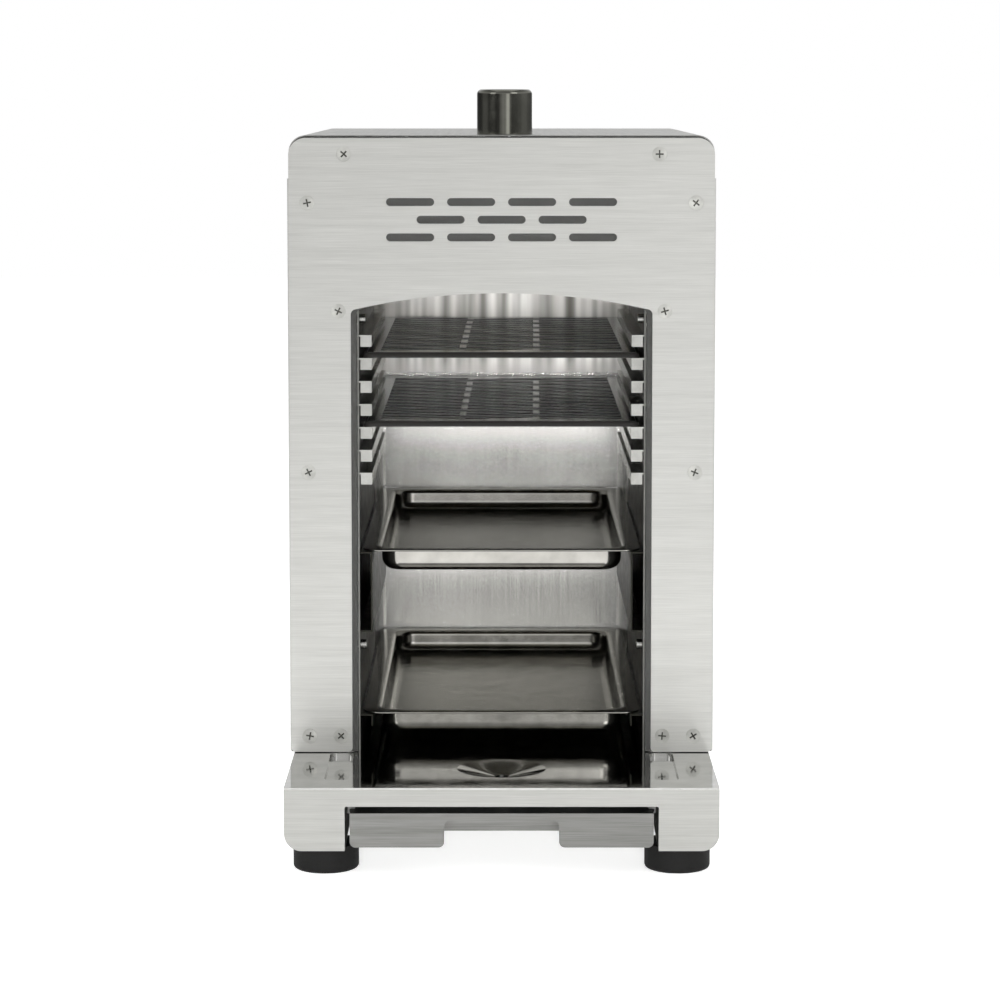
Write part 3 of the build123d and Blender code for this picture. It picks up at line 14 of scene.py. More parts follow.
import bmesh
import bpy
import numpy as np
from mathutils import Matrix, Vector


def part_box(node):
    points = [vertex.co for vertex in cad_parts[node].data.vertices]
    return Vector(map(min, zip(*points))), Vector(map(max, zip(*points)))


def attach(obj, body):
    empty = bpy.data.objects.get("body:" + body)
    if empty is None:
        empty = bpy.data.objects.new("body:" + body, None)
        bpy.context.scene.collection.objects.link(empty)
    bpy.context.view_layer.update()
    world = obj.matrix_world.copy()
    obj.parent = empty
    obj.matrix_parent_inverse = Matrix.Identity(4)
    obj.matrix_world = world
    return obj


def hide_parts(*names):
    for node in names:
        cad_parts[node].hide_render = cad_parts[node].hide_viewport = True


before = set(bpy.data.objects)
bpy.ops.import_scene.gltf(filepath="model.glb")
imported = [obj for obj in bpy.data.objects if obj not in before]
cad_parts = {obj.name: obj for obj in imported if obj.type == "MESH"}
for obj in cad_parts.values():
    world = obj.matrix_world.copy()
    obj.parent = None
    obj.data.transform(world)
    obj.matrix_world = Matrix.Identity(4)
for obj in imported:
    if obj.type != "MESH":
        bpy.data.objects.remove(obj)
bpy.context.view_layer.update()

MM = 0.001
QUARTER_TURN = math.pi / 2
LOG = logging.getLogger("grill")

# The span that holds nearly all values of a noise, and a narrower one that gives more contrast
NOISE_SPAN = {"From Min": 0.3, "From Max": 0.7}
NOISE_CORE = {"From Min": 0.35, "From Max": 0.65}

Colour = tuple[float, float, float, float]
Triple = tuple[float, float, float]
Pair = tuple[float, float]


def linear(code: str) -> Colour:
    """Turns an sRGB hex colour into the linear values that a shader works with.

    Args:
        code: Six hex digits after a hash, such as "#c8c8c4".

    Returns:
        Red, green, blue and alpha. A channel c becomes ((c + 0.055) / 1.055) ** 2.4, or c / 12.92 where it is
        0.04045 or less.
    """
    channels = [int(code[i:i + 2], 16) / 255 for i in (1, 3, 5)]
    red, green, blue = [c / 12.92 if c <= 0.04045 else ((c + 0.055) / 1.055) ** 2.4 for c in channels]
    return red, green, blue, 1.0


def wire(tree: bpy.types.NodeTree, node: bpy.types.Node, inputs: dict[Any, Any]) -> None:
    """Fills or links a node's inputs.

    Args:
        tree: The node tree that holds the node.
        node: The node whose inputs are meant.
        inputs: Input names or numbers, each with a value, another node's output, or a node, which stands for
            its first output.
    """
    for key, value in inputs.items():
        source = value.outputs[0] if isinstance(value, bpy.types.Node) else value
        if isinstance(source, bpy.types.NodeSocket):
            tree.links.new(source, node.inputs[key])
        else:
            node.inputs[key].default_value = source


def add(tree: bpy.types.NodeTree, kind: str, inputs: dict[Any, Any] | None = None,
        **settings: Any) -> bpy.types.Node:
    """Adds one node, sets its properties, and fills or links its inputs.

    Args:
        tree: The node tree that takes the node.
        kind: The node's type name without its "ShaderNode" prefix.
        inputs: What wire takes as its inputs.
        settings: Properties of the node itself.

    Returns:
        The new node.
    """
    node = tree.nodes.new("ShaderNode" + kind)
    for key, value in settings.items():
        setattr(node, key, value)
    wire(tree, node, inputs or {})
    return node


class Along(Enum):
    """The axis that a brushed or rolled grain runs along."""

    X = 0
    Y = 1
    Z = 2

    def scales(self, length: float, width: float) -> Triple:
        """Repeats per metre along each axis, for a grain of this length and width in metres."""
        scale = [1 / width] * 3
        scale[self.value] = 1 / length
        return scale[0], scale[1], scale[2]


@dataclass(frozen=True)
class Finish:
    """What every finish has: a name, and a way to fill a material's node tree."""

    name: str

    def fill(self, tree: bpy.types.NodeTree, shader: bpy.types.Node) -> None:
        """Sets the shader and adds the nodes of this finish."""
        raise NotImplementedError

    def material(self) -> bpy.types.Material:
        """Makes this finish's material, or finds the one already made.

        Returns:
            The material, with one Principled shader and one output.
        """
        made = bpy.data.materials.get(self.name)
        if made is not None:
            return made
        made = bpy.data.materials.new(self.name)
        made.use_nodes = True
        tree = made.node_tree
        tree.nodes.clear()
        shader = add(tree, "BsdfPrincipled")
        add(tree, "OutputMaterial", {"Surface": shader})
        self.fill(tree, shader)
        return made


@dataclass(frozen=True)
class GrainedMetal(Finish):
    """Sheet metal with a grain: brushed, rolled or drawn, with faint handling marks.

    The grain is noise stretched along one axis. A second, wider noise gives the streaks that the eye picks
    out at arm's length, and a third, round one gives smudges, which only change the roughness.
    """

    dark: str
    light: str
    along: Along = Along.X
    grain_length: float = 30 * MM
    grain_width: float = 0.45 * MM
    streak_length: float = 160 * MM
    streak_width: float = 3 * MM
    streak_share: float = 0.35
    smudge: float = 45 * MM
    smudge_share: float = 0.5
    rough_low: float = 0.28
    rough_high: float = 0.38
    depth: float = 0.004 * MM

    def fill(self, tree: bpy.types.NodeTree, shader: bpy.types.Node) -> None:
        """Mixes the two colours by grain and streaks, and roughens along the grain."""
        place = add(tree, "TexCoord").outputs["Object"]
        fine_scale = self.along.scales(self.grain_length, self.grain_width)
        wide_scale = self.along.scales(self.streak_length, self.streak_width)
        fine_place = add(tree, "Mapping", {"Vector": place, "Scale": fine_scale})
        wide_place = add(tree, "Mapping", {"Vector": place, "Scale": wide_scale})
        fine = add(tree, "TexNoise", {"Vector": fine_place, "Scale": 1.0, "Detail": 3.0, "Roughness": 0.6})
        wide = add(tree, "TexNoise", {"Vector": wide_place, "Scale": 1.0, "Detail": 2.0})
        blot = add(tree, "TexNoise", {"Vector": place, "Scale": 1 / self.smudge, "Detail": 4.0,
                                      "Roughness": 0.55})
        both = add(tree, "Mix", {0: self.streak_share, 2: fine, 3: wide})
        tone = add(tree, "MapRange", {"Value": both, **NOISE_SPAN})
        colour = add(tree, "Mix", {0: tone, 6: linear(self.dark), 7: linear(self.light)}, data_type="RGBA")
        mark = add(tree, "Mix", {0: self.smudge_share, 2: fine, 3: blot})
        rough = add(tree, "MapRange", {"Value": mark, **NOISE_CORE, "To Min": self.rough_low,
                                       "To Max": self.rough_high})
        relief = add(tree, "Bump", {"Height": fine, "Strength": 1.0, "Distance": self.depth})
        wire(tree, shader, {"Base Color": colour.outputs[2], "Roughness": rough, "Normal": relief,
                            "Metallic": 1.0})


@dataclass(frozen=True)
class PolishedMetal(Finish):
    """Polished, plated or turned metal: a nearly even colour, with wiping marks in its gloss."""

    dark: str
    light: str
    rough_low: float = 0.05
    rough_high: float = 0.14
    wipe: float = 14 * MM
    wipe_span: Pair = (0.35, 0.7)
    wave: float = 60 * MM
    wave_depth: float = 0.04 * MM
    glancing: str = "#ffffff"

    def fill(self, tree: bpy.types.NodeTree, shader: bpy.types.Node) -> None:
        """Varies colour and gloss by cloudy noise, and lets the sheet wave a little."""
        place = add(tree, "TexCoord").outputs["Object"]
        cloud = add(tree, "TexNoise", {"Vector": place, "Scale": 1 / self.wipe, "Detail": 5.0,
                                       "Roughness": 0.6})
        tone = add(tree, "MapRange", {"Value": cloud, **NOISE_SPAN})
        colour = add(tree, "Mix", {0: tone, 6: linear(self.dark), 7: linear(self.light)}, data_type="RGBA")
        rough = add(tree, "MapRange", {"Value": cloud, "From Min": self.wipe_span[0],
                                       "From Max": self.wipe_span[1], "To Min": self.rough_low,
                                       "To Max": self.rough_high})
        swell = add(tree, "TexNoise", {"Vector": place, "Scale": 1 / self.wave, "Detail": 1.0})
        relief = add(tree, "Bump", {"Height": swell, "Strength": 1.0, "Distance": self.wave_depth})
        wire(tree, shader, {"Base Color": colour.outputs[2], "Roughness": rough, "Normal": relief,
                            "Metallic": 1.0, "Specular Tint": linear(self.glancing)})


@dataclass(frozen=True)
class HeatedWall(Finish):
    """Mill-finish chamber steel: smooth and bright, with upright heat streaks under the burner.

    A slow noise lets the rolled sheet shade from light to dark. The streaks are noise stretched upright, and
    they fade in with height. The oxide skin up there is duller, and scatters some light as paint does.
    """

    dark: str
    light: str
    scorch: str
    cloud: float = 110 * MM
    cloud_span: Pair = (0.38, 0.62)
    grain_length: float = 60 * MM
    grain_width: float = 0.7 * MM
    grain_share: float = 0.1
    streak_length: float = 260 * MM
    streak_width: float = 8 * MM
    fade_from: float = 258 * MM
    fade_to: float = 276 * MM
    rough_low: float = 0.13
    rough_high: float = 0.17
    depth: float = 0.0006 * MM
    oxide_rough: float = 0.42
    oxide_bare: float = 0.66
    bare: float = 0.86

    def fill(self, tree: bpy.types.NodeTree, shader: bpy.types.Node) -> None:
        """Lays slow clouds and fine rolled grain, then upright streaks that grow with height."""
        place = add(tree, "TexCoord").outputs["Object"]
        grain_scale = Along.Z.scales(self.grain_length, self.grain_width)
        grain_place = add(tree, "Mapping", {"Vector": place, "Scale": grain_scale})
        grain = add(tree, "TexNoise", {"Vector": grain_place, "Scale": 1.0, "Detail": 3.0})
        cloud = add(tree, "TexNoise", {"Vector": place, "Scale": 1 / self.cloud, "Detail": 1.0})
        streak_scale = Along.Z.scales(self.streak_length, self.streak_width)
        streak_place = add(tree, "Mapping", {"Vector": place, "Scale": streak_scale})
        streak = add(tree, "TexNoise", {"Vector": streak_place, "Scale": 1.0, "Detail": 1.0})
        height = add(tree, "SeparateXYZ", {"Vector": place}).outputs["Z"]
        fade = add(tree, "MapRange", {"Value": height, "From Min": self.fade_from, "From Max": self.fade_to})
        strength = add(tree, "MapRange", {"Value": streak, **NOISE_SPAN})
        scorch = add(tree, "Math", {0: fade, 1: strength}, operation="MULTIPLY")
        mixed = add(tree, "Mix", {0: self.grain_share, 2: cloud, 3: grain})
        tone = add(tree, "MapRange", {"Value": mixed, "From Min": self.cloud_span[0],
                                      "From Max": self.cloud_span[1]})
        steel = add(tree, "Mix", {0: tone, 6: linear(self.dark), 7: linear(self.light)}, data_type="RGBA")
        colour = add(tree, "Mix", {0: scorch, 6: steel.outputs[2], 7: linear(self.scorch)}, data_type="RGBA")
        smooth = add(tree, "MapRange", {"Value": grain, **NOISE_CORE, "To Min": self.rough_low,
                                        "To Max": self.rough_high})
        rough = add(tree, "Mix", {0: fade, 2: smooth, 3: self.oxide_rough})
        bare = add(tree, "Mix", {0: fade, 2: self.bare, 3: self.oxide_bare})
        relief = add(tree, "Bump", {"Height": grain, "Strength": 1.0, "Distance": self.depth})
        wire(tree, shader, {"Base Color": colour.outputs[2], "Roughness": rough, "Metallic": bare,
                            "Normal": relief})


@dataclass(frozen=True)
class BrightFront(Finish):
    """Steel painted near black as painted shade, with its foremost edge or face left a bright steel colour.

    The depth behind the piece's front mixes the two, and they meet over a small share of the bright depth.
    """

    # The face's colour is painted shade; the edge keeps the steel's own colour
    face: str
    edge: str
    front: float
    edge_depth: float = 0.6 * MM
    blur_share: float = 0.1
    mottle: float = 9 * MM
    mottle_tones: Pair = (0.7, 1.2)
    rough_low: float = 0.3
    rough_high: float = 0.46
    gloss: float = 0.35

    def fill(self, tree: bpy.types.NodeTree, shader: bpy.types.Node) -> None:
        """Mixes the bright edge and the painted shade by depth, with random clouds in the colour and the
        gloss.
        """
        place = add(tree, "TexCoord").outputs["Object"]
        depth = add(tree, "SeparateXYZ", {"Vector": place}).outputs["Y"]
        share = add(tree, "MapRange", {"Value": depth, "From Min": self.front + self.edge_depth,
                                       "From Max": self.front + (1 + self.blur_share) * self.edge_depth})
        mottle = add(tree, "TexNoise", {"Vector": place, "Scale": 1 / self.mottle, "Detail": 4.0})
        colour = add(tree, "Mix", {0: share, 6: linear(self.edge), 7: linear(self.face)}, data_type="RGBA")
        lift = add(tree, "MapRange", {"Value": mottle, **NOISE_SPAN, "To Min": self.mottle_tones[0],
                                      "To Max": self.mottle_tones[1]})
        cloudy = add(tree, "VectorMath", {0: colour.outputs[2], "Scale": lift}, operation="SCALE")
        bright = add(tree, "Math", {0: 1.0, 1: share}, operation="SUBTRACT")
        rough = add(tree, "MapRange", {"Value": mottle, **NOISE_SPAN, "To Min": self.rough_low,
                                       "To Max": self.rough_high})
        wire(tree, shader, {"Base Color": cloudy, "Metallic": bright, "Roughness": rough,
                            "Specular IOR Level": self.gloss})


@dataclass(frozen=True)
class CoatedSheet(Finish):
    """Sheet steel under a satin non-stick coating: metallic on its land, with painted shade where the bars are
    pressed in.

    The height on the piece mixes the two, between two depths under the land that are shares of the groove's
    depth.
    """

    groove: str
    land: str
    top: float
    groove_depth: float
    groove_share: float = 0.4
    land_share: float = 0.1
    speckle: float = 0.8 * MM
    speckle_depth: float = 0.01 * MM
    speckle_tones: Pair = (0.88, 1.1)
    land_rough: float = 0.22
    groove_rough: float = 0.62
    groove_bare: float = 0.1
    gloss: float = 0.25

    def fill(self, tree: bpy.types.NodeTree, shader: bpy.types.Node) -> None:
        """Mixes groove and land by height, the groove's near black being painted shade, with the coating's
        fine speckle on top.
        """
        place = add(tree, "TexCoord").outputs["Object"]
        height = add(tree, "SeparateXYZ", {"Vector": place}).outputs["Z"]
        share = add(tree, "MapRange", {"Value": height,
                                       "From Min": self.top - self.groove_share * self.groove_depth,
                                       "From Max": self.top - self.land_share * self.groove_depth})
        # The groove colour is painted shade in the pressed bars
        colour = add(tree, "Mix", {0: share, 6: linear(self.groove), 7: linear(self.land)}, data_type="RGBA")
        grit = add(tree, "TexNoise", {"Vector": place, "Scale": 1 / self.speckle, "Detail": 3.0})
        lift = add(tree, "MapRange", {"Value": grit, **NOISE_SPAN, "To Min": self.speckle_tones[0],
                                      "To Max": self.speckle_tones[1]})
        speckled = add(tree, "VectorMath", {0: colour.outputs[2], "Scale": lift}, operation="SCALE")
        land_metallic = add(tree, "MapRange", {"Value": share, "To Min": self.groove_bare, "To Max": 1.0})
        rough = add(tree, "MapRange", {"Value": share, "To Min": self.groove_rough,
                                       "To Max": self.land_rough})
        relief = add(tree, "Bump", {"Height": grit, "Strength": 0.6, "Distance": self.speckle_depth})
        wire(tree, shader, {"Base Color": speckled, "Metallic": land_metallic, "Roughness": rough, "Normal": relief,
                            "Specular IOR Level": self.gloss})


@dataclass(frozen=True)
class Moulded(Finish):
    """Moulded, painted or fired stuff that is no metal: rubber, plastic, ceramic or lacquer."""

    dark: str
    light: str
    grit: float = 0.7 * MM
    rough_low: float = 0.5
    rough_high: float = 0.7
    depth: float = 0.03 * MM
    gloss: float = 0.5

    def fill(self, tree: bpy.types.NodeTree, shader: bpy.types.Node) -> None:
        """Varies colour, gloss and relief by one fine noise."""
        place = add(tree, "TexCoord").outputs["Object"]
        grit = add(tree, "TexNoise", {"Vector": place, "Scale": 1 / self.grit, "Detail": 4.0})
        tone = add(tree, "MapRange", {"Value": grit, **NOISE_SPAN})
        colour = add(tree, "Mix", {0: tone, 6: linear(self.dark), 7: linear(self.light)}, data_type="RGBA")
        rough = add(tree, "MapRange", {"Value": grit, **NOISE_SPAN, "To Min": self.rough_low,
                                       "To Max": self.rough_high})
        relief = add(tree, "Bump", {"Height": grit, "Strength": 0.8, "Distance": self.depth})
        wire(tree, shader, {"Base Color": colour.outputs[2], "Roughness": rough, "Normal": relief,
                            "Specular IOR Level": self.gloss})


@dataclass(frozen=True)
class PiercedCeramic(Finish):
    """A ceramic burner tile, with the rows of fine flame holes drawn as dark dots of painted shade.

    The real holes are about 1.2 mm wide and 2.4 mm apart, and are drawn at that size.
    """

    body: str
    hole_shade: str
    pitch: float = 2.4 * MM
    hole_width: float = 1.2 * MM
    hole_depth: float = 0.3 * MM
    rim_blur: float = 0.06
    rough: float = 0.85

    def fill(self, tree: bpy.types.NodeTree, shader: bpy.types.Node) -> None:
        """Draws a square grid of round holes from the distance to each cell's middle."""
        place = add(tree, "TexCoord").outputs["Object"]
        cells = add(tree, "VectorMath", {0: place, "Scale": 1 / self.pitch}, operation="SCALE")
        part = add(tree, "VectorMath", {0: cells}, operation="FRACTION")
        flat = add(tree, "VectorMath", {0: part, 1: (1.0, 1.0, 0.0)}, operation="MULTIPLY")
        away = add(tree, "VectorMath", {0: flat, 1: (0.5, 0.5, 0.0)}, operation="DISTANCE")
        edge = self.hole_width / self.pitch / 2
        rim = add(tree, "MapRange", {"Value": away.outputs["Value"], "From Min": edge - self.rim_blur,
                                     "From Max": edge + self.rim_blur})
        # The hole colour is painted shade for each hole's depth
        colour = add(tree, "Mix", {0: rim, 6: linear(self.hole_shade), 7: linear(self.body)}, data_type="RGBA")
        relief = add(tree, "Bump", {"Height": rim, "Strength": 0.8, "Distance": self.hole_depth})
        wire(tree, shader, {"Base Color": colour.outputs[2], "Normal": relief, "Roughness": self.rough})


# Stainless sheet, brushed level by a belt: long fine scratches that blur what it mirrors. The real scratches
# are about 0.05 mm wide, which is too fine to show, so they are drawn nine times as wide.
PANEL_STEEL = GrainedMetal("stainless_brushed_level", dark="#c4c4c0", light="#d9d9d5")
# The base's sheet: brushed in the same way, and painted a little darker than the panel as painted shade
BASE_SHADED_STEEL = GrainedMetal("stainless_brushed_base_painted_shade", dark="#b3b3af", light="#c9c9c5")
# The side panels' sheet: brushed from front to rear, so that its glints run along it
SIDE_STEEL = GrainedMetal("stainless_brushed_side", dark="#c3c3c0", light="#d6d6d3", along=Along.Y)
# The rear panel's sheet: brushed level, and duller than the front
REAR_STEEL = GrainedMetal("stainless_brushed_rear", dark="#b0b0ad", light="#cbcbc8")
# The cover's stainless sheet: finely brushed from front to rear, with a soft satin sheen
COVER_STEEL = GrainedMetal("stainless_satin_cover", dark="#a8a8a6", light="#d0d0cd", along=Along.Y,
                           rough_low=0.34, rough_high=0.46)
# Powder coat of the front frame, baked on: black with a satin gloss and a fine orange-peel grit. Where it
# shows through the panel's cut-outs, its black is also painted shade for the dark housing behind them
BLACK_COAT_AND_SHADE = Moulded("powder_coat_black_and_painted_shade", dark="#181816", light="#20201e", grit=0.9 * MM, rough_low=0.3,
                     rough_high=0.42)
# Mill-finish stainless of the chamber, rolled upright: bright, with heat marks below the burner
LINER_STEEL = HeatedWall("stainless_mill_heated", dark="#d6d5d1", light="#f0efeb", scorch="#66645d")
# Cold-rolled sheet inside the housing and the base: plain grey, with a faint rolled grain
INNER_STEEL = GrainedMetal("steel_cold_rolled", dark="#8f8f8d", light="#b0b0ad", along=Along.Y, rough_low=0.3,
                           rough_high=0.46)
# Bright-annealed stainless of the grate rails: smooth, with soft wavy reflections
RAIL_STEEL = PolishedMetal("stainless_bright_rail", dark="#b0b0ab", light="#cdcdc9", rough_low=0.16,
                           rough_high=0.28)
RACK_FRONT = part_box("rack_right")[0][1]
# The racks' sheet: painted near black as painted shade for its shaded hollows, and bright steel only at its
# front, where it was cut
RACK_STEEL_AND_SHADE = BrightFront("stainless_rack_painted_shade", face="#11110f", edge="#a3a39e", front=RACK_FRONT)
# The tray rails' sheet: painted near black as painted shade in the same way, with its cut edge painted dark
# grey as painted shade too
TRAY_RAIL_STEEL_AND_SHADE = BrightFront("stainless_tray_rail_painted_shade", face="#11110e", edge="#34342f", front=RACK_FRONT)
# Deep-drawn and polished steel of the trays: a drawn sheet's slow waves, duller at a glancing angle
TRAY_STEEL = PolishedMetal("stainless_polished_tray", dark="#b4b2ac", light="#cac8c2", rough_low=0.15,
                           rough_high=0.22, wave_depth=0.03 * MM, glancing="#a8a8a6")
# Mirror-polished stainless of the drip plate: clear reflections that wave a little
PLATE_STEEL = PolishedMetal("stainless_mirror_plate", dark="#bdbdba", light="#d2d2d0", rough_low=0.05,
                            rough_high=0.11)
# The drawer's sheet: brushed level, and painted darker than the base's front as painted shade from the base's
# overhang above it
DRAWER_SHADED_STEEL = GrainedMetal("stainless_brushed_drawer_painted_shade", dark="#7c7c79", light="#9c9c99", rough_low=0.28,
                            rough_high=0.4)
# Heads of the panel's screws: bright steel on the flat of the head, with painted shade in the recess and round
# the rim
HEAD_STEEL_AND_SHADE = BrightFront("stainless_screw_head_painted_shade", face="#24241f", edge="#cfcfca",
                         front=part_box("panel_screws")[0][1], edge_depth=0.25 * MM)
# Stainless screws and small turned parts, tumbled: a soft, even brightness
SCREW_STEEL = PolishedMetal("stainless_tumbled", dark="#a3a39f", light="#c6c6c2", rough_low=0.16,
                            rough_high=0.3, wipe=3 * MM, wave_depth=0.0)
# Black-nickel plate on a turned knob: dark, and nearly a mirror
KNOB_PLATE = PolishedMetal("black_nickel_turned", dark="#66665f", light="#75756e", rough_low=0.08,
                           rough_high=0.15, wave_depth=0.0)
# Machined brass of the valve, its fittings and the flame sensor: yellow, dulled by a little tarnish
BRASS = PolishedMetal("brass_machined", dark="#a07f3f", light="#c9a75c", rough_low=0.22, rough_high=0.38,
                      wipe=6 * MM, wave_depth=0.0)
# Drawn aluminium pipe: pale, with a soft sheen
PIPE_METAL = GrainedMetal("aluminium_drawn", dark="#a8aaac", light="#c6c8ca", along=Along.Y, rough_low=0.3,
                          rough_high=0.4)
# Nitrile rubber feet: matt black with a moulded skin
FOOT_RUBBER = Moulded("rubber_moulded_black", dark="#080808", light="#0f0f0e", rough_low=0.6, rough_high=0.8,
                      gloss=0.3)
# Glass-filled nylon of the spark box, moulded: near black, with a faint grit
BOX_PLASTIC = Moulded("nylon_moulded_black", dark="#111111", light="#1c1c1c", rough_low=0.42, rough_high=0.58)
# Silicone sleeve of the spark lead, extruded: dull red
LEAD_SLEEVE = Moulded("silicone_sleeve_red", dark="#6e1a14", light="#8a241b", rough_low=0.38, rough_high=0.5)
# Glazed alumina of the electrode: off-white with a clear gloss
ELECTRODE_CERAMIC = Moulded("alumina_glazed", dark="#d9d6cc", light="#e8e5dc", rough_low=0.12, rough_high=0.2)
# Cordierite burner tiles, pressed and unglazed: cream and matt, with flame holes drawn as dark dots of painted
# shade
TILE_CERAMIC = PiercedCeramic("cordierite_pierced", body="#cdbf9f", hole_shade="#2b241b")


def dress(finish: Finish, *names: str) -> None:
    """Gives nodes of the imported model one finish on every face.

    Args:
        finish: The finish to use.
        names: The nodes' names.
    """
    for name in names:
        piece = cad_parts[name]
        piece.data.materials.clear()
        piece.data.materials.append(finish.material())
        LOG.info("%s: %s", name, finish.name)


def surface(name: str, points: np.ndarray, closed_rows: bool) -> bpy.types.Object:
    """Makes a mesh from a grid of points, with one four-sided face between each two rows and columns.

    Args:
        name: The new piece's name.
        points: An array of rows by columns by 3, in metres.
        closed_rows: Whether each row's last point joins its first.

    Returns:
        The new object, smooth shaded, at the origin.
    """
    rows, columns = points.shape[:2]
    index = np.arange(rows * columns).reshape(rows, columns)
    right = np.roll(index, -1, axis=1) if closed_rows else index[:, 1:]
    left = index if closed_rows else index[:, :-1]
    faces = np.stack([left[:-1], right[:-1], right[1:], left[1:]], axis=-1).reshape(-1, 4)
    mesh = bpy.data.meshes.new(name)
    mesh.from_pydata(points.reshape(-1, 3), [], faces)
    mesh.polygons.foreach_set("use_smooth", np.ones(len(faces), dtype=bool))
    mesh.update()
    made = bpy.data.objects.new(name, mesh)
    bpy.context.collection.objects.link(made)
    return made


@dataclass(frozen=True)
class Softbox:
    """One rectangular lamp: its place and aim, its width and height in metres, and its power in watts.

    A grid before it narrows its light to the spread, in degrees. Metal shows it only where mirrored is set.
    """

    name: str
    place: Triple
    aim: Triple
    size: Pair
    power: float
    spread: float = 180.0
    mirrored: bool = True

    def hang(self) -> None:
        """Hangs the lamp and turns it to its aim."""
        lamp = bpy.data.lights.new(self.name, "AREA")
        lamp.shape = "RECTANGLE"
        lamp.size, lamp.size_y = self.size
        lamp.energy = self.power
        lamp.spread = math.radians(self.spread)
        stand = bpy.data.objects.new(self.name, lamp)
        stand.location = self.place
        toward = Vector(self.aim) - Vector(self.place)
        stand.rotation_euler = toward.to_track_quat("-Z", "Y").to_euler()
        stand.visible_glossy = self.mirrored
        bpy.context.collection.objects.link(stand)


@dataclass
class Studio:
    """The floor, the light and the camera, which stand for a plain photographer's studio.

    A level of light is 1 where it shows as white. Each of the wall's levels stands after the X part of the
    direction to it, from -1 at the left to 1 at the right. The heights are the Z parts of directions.
    """

    panel_y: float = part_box("front_panel")[0][1]
    camera_reach: float = 2037 * MM
    camera_height: float = 473 * MM
    camera_x: float = -1 * MM
    camera_pitch: float = 5.5
    nearest_seen: float = 50 * MM
    # Blender keeps a film's width and a lens's length as plain millimetres
    film_width: float = 36.0
    focal_px: float = 3268.0
    frame_px: float = 1000.0
    axis_px: float = 403.0
    floor_reach: float = 6.0
    floor_paint: str = "#f4f4f4"
    floor_glow: float = 0.6
    floor_mirrored: float = 0.7
    wall_levels: tuple[Pair, ...] = (
        (-1.0, 0.3), (-0.93, 0.12), (-0.8, 0.08), (-0.45, 0.1), (-0.25, 0.5), (-0.1, 0.8), (0.0, 0.7),
        (0.08, 0.9), (0.16, 1.9), (0.3, 1.9), (0.37, 0.5), (0.5, 0.2), (0.75, 0.2), (0.92, 0.3), (1.0, 0.45),
    )
    ramp_top: float = 2.0
    upper_heights: Pair = (0.12, 0.3)
    upper_level: float = 0.85
    ceiling_heights: Pair = (0.4, 0.75)
    ceiling_share: float = 0.45
    room_light: float = 0.5
    lamps: tuple[Softbox, ...] = (
        Softbox("key_right", place=(1.7, -2.0, 1.7), aim=(0.0, 0.0, 0.25), size=(1.2, 1.2), power=10.0),
        Softbox("fill_left", place=(-1.9, -1.6, 1.2), aim=(0.0, 0.0, 0.25), size=(1.0, 1.4), power=6.0),
        Softbox("top", place=(0.0, 0.1, 2.2), aim=(0.0, 0.0, 0.3), size=(1.6, 1.6), power=7.0),
        Softbox("front", place=(0.0, -2.6, 0.29), aim=(0.0, 0.0, 0.29), size=(0.9, 0.4), power=7.0,
                spread=30.0, mirrored=False),
    )

    def camera(self) -> None:
        """Stands the camera before the panel, tipped down a little, its film slid to frame the object."""
        lens = bpy.data.cameras.new("front_camera")
        lens.sensor_width = self.film_width
        lens.lens = self.film_width * self.focal_px / self.frame_px
        lens.shift_y = (self.axis_px - self.frame_px / 2) / self.frame_px
        lens.clip_start = self.nearest_seen
        stand = bpy.data.objects.new("front_camera", lens)
        stand.location = (self.camera_x, self.panel_y - self.camera_reach, self.camera_height)
        stand.rotation_euler = (QUARTER_TURN - math.radians(self.camera_pitch), 0.0, 0.0)
        bpy.context.collection.objects.link(stand)
        bpy.context.scene.camera = stand

    def floor(self) -> None:
        """Lays a wide pale floor, white to the eye and a little dimmer in metal, that keeps the shadow."""
        span = np.linspace(-self.floor_reach, self.floor_reach, 3)
        x, y = np.meshgrid(span, span)
        ground = surface("studio_floor", np.stack([x, y, np.zeros_like(x)], axis=-1), closed_rows=False)
        paint = bpy.data.materials.new("studio_floor_paint")
        paint.use_nodes = True
        tree = paint.node_tree
        tree.nodes.clear()
        matt = add(tree, "BsdfDiffuse", {"Color": linear(self.floor_paint)})
        path = add(tree, "LightPath")
        mirrored = add(tree, "Math", {0: path.outputs["Is Glossy Ray"], 1: self.floor_mirrored},
                       operation="MULTIPLY")
        seen = add(tree, "Math", {0: path.outputs["Is Camera Ray"], 1: mirrored}, operation="MAXIMUM")
        lift = add(tree, "Math", {0: seen, 1: self.floor_glow}, operation="MULTIPLY")
        glow = add(tree, "Emission", {"Strength": lift})
        both = add(tree, "AddShader", {0: matt, 1: glow})
        add(tree, "OutputMaterial", {"Surface": both})
        ground.data.materials.append(paint)

    def world(self) -> None:
        """Fills the studio with even light, and shows a white wall to the eye.

        Metal mirrors that wall in light and dark upright bands, as it does two diffusers with gaps between
        them, and mirrors an even wall above them and a dim ceiling. A colour ramp holds the bands' levels from
        side to side, as shares of its top level.
        """
        room = bpy.data.worlds.new("studio_room")
        bpy.context.scene.world = room
        room.use_nodes = True
        tree = room.node_tree
        tree.nodes.clear()
        path = add(tree, "LightPath")
        seen = add(tree, "Math", {0: path.outputs["Is Camera Ray"], 1: path.outputs["Is Transmission Ray"]},
                   operation="MAXIMUM")
        way = add(tree, "SeparateXYZ", {"Vector": add(tree, "TexCoord").outputs["Generated"]})
        across = add(tree, "MapRange", {"Value": way.outputs["X"], "From Min": -1.0})
        side = add(tree, "ValToRGB", {"Fac": across})
        ramp = side.color_ramp
        ramp.interpolation = "EASE"
        for number, (x, level) in enumerate(self.wall_levels):
            position, share = (x + 1) / 2, level / self.ramp_top
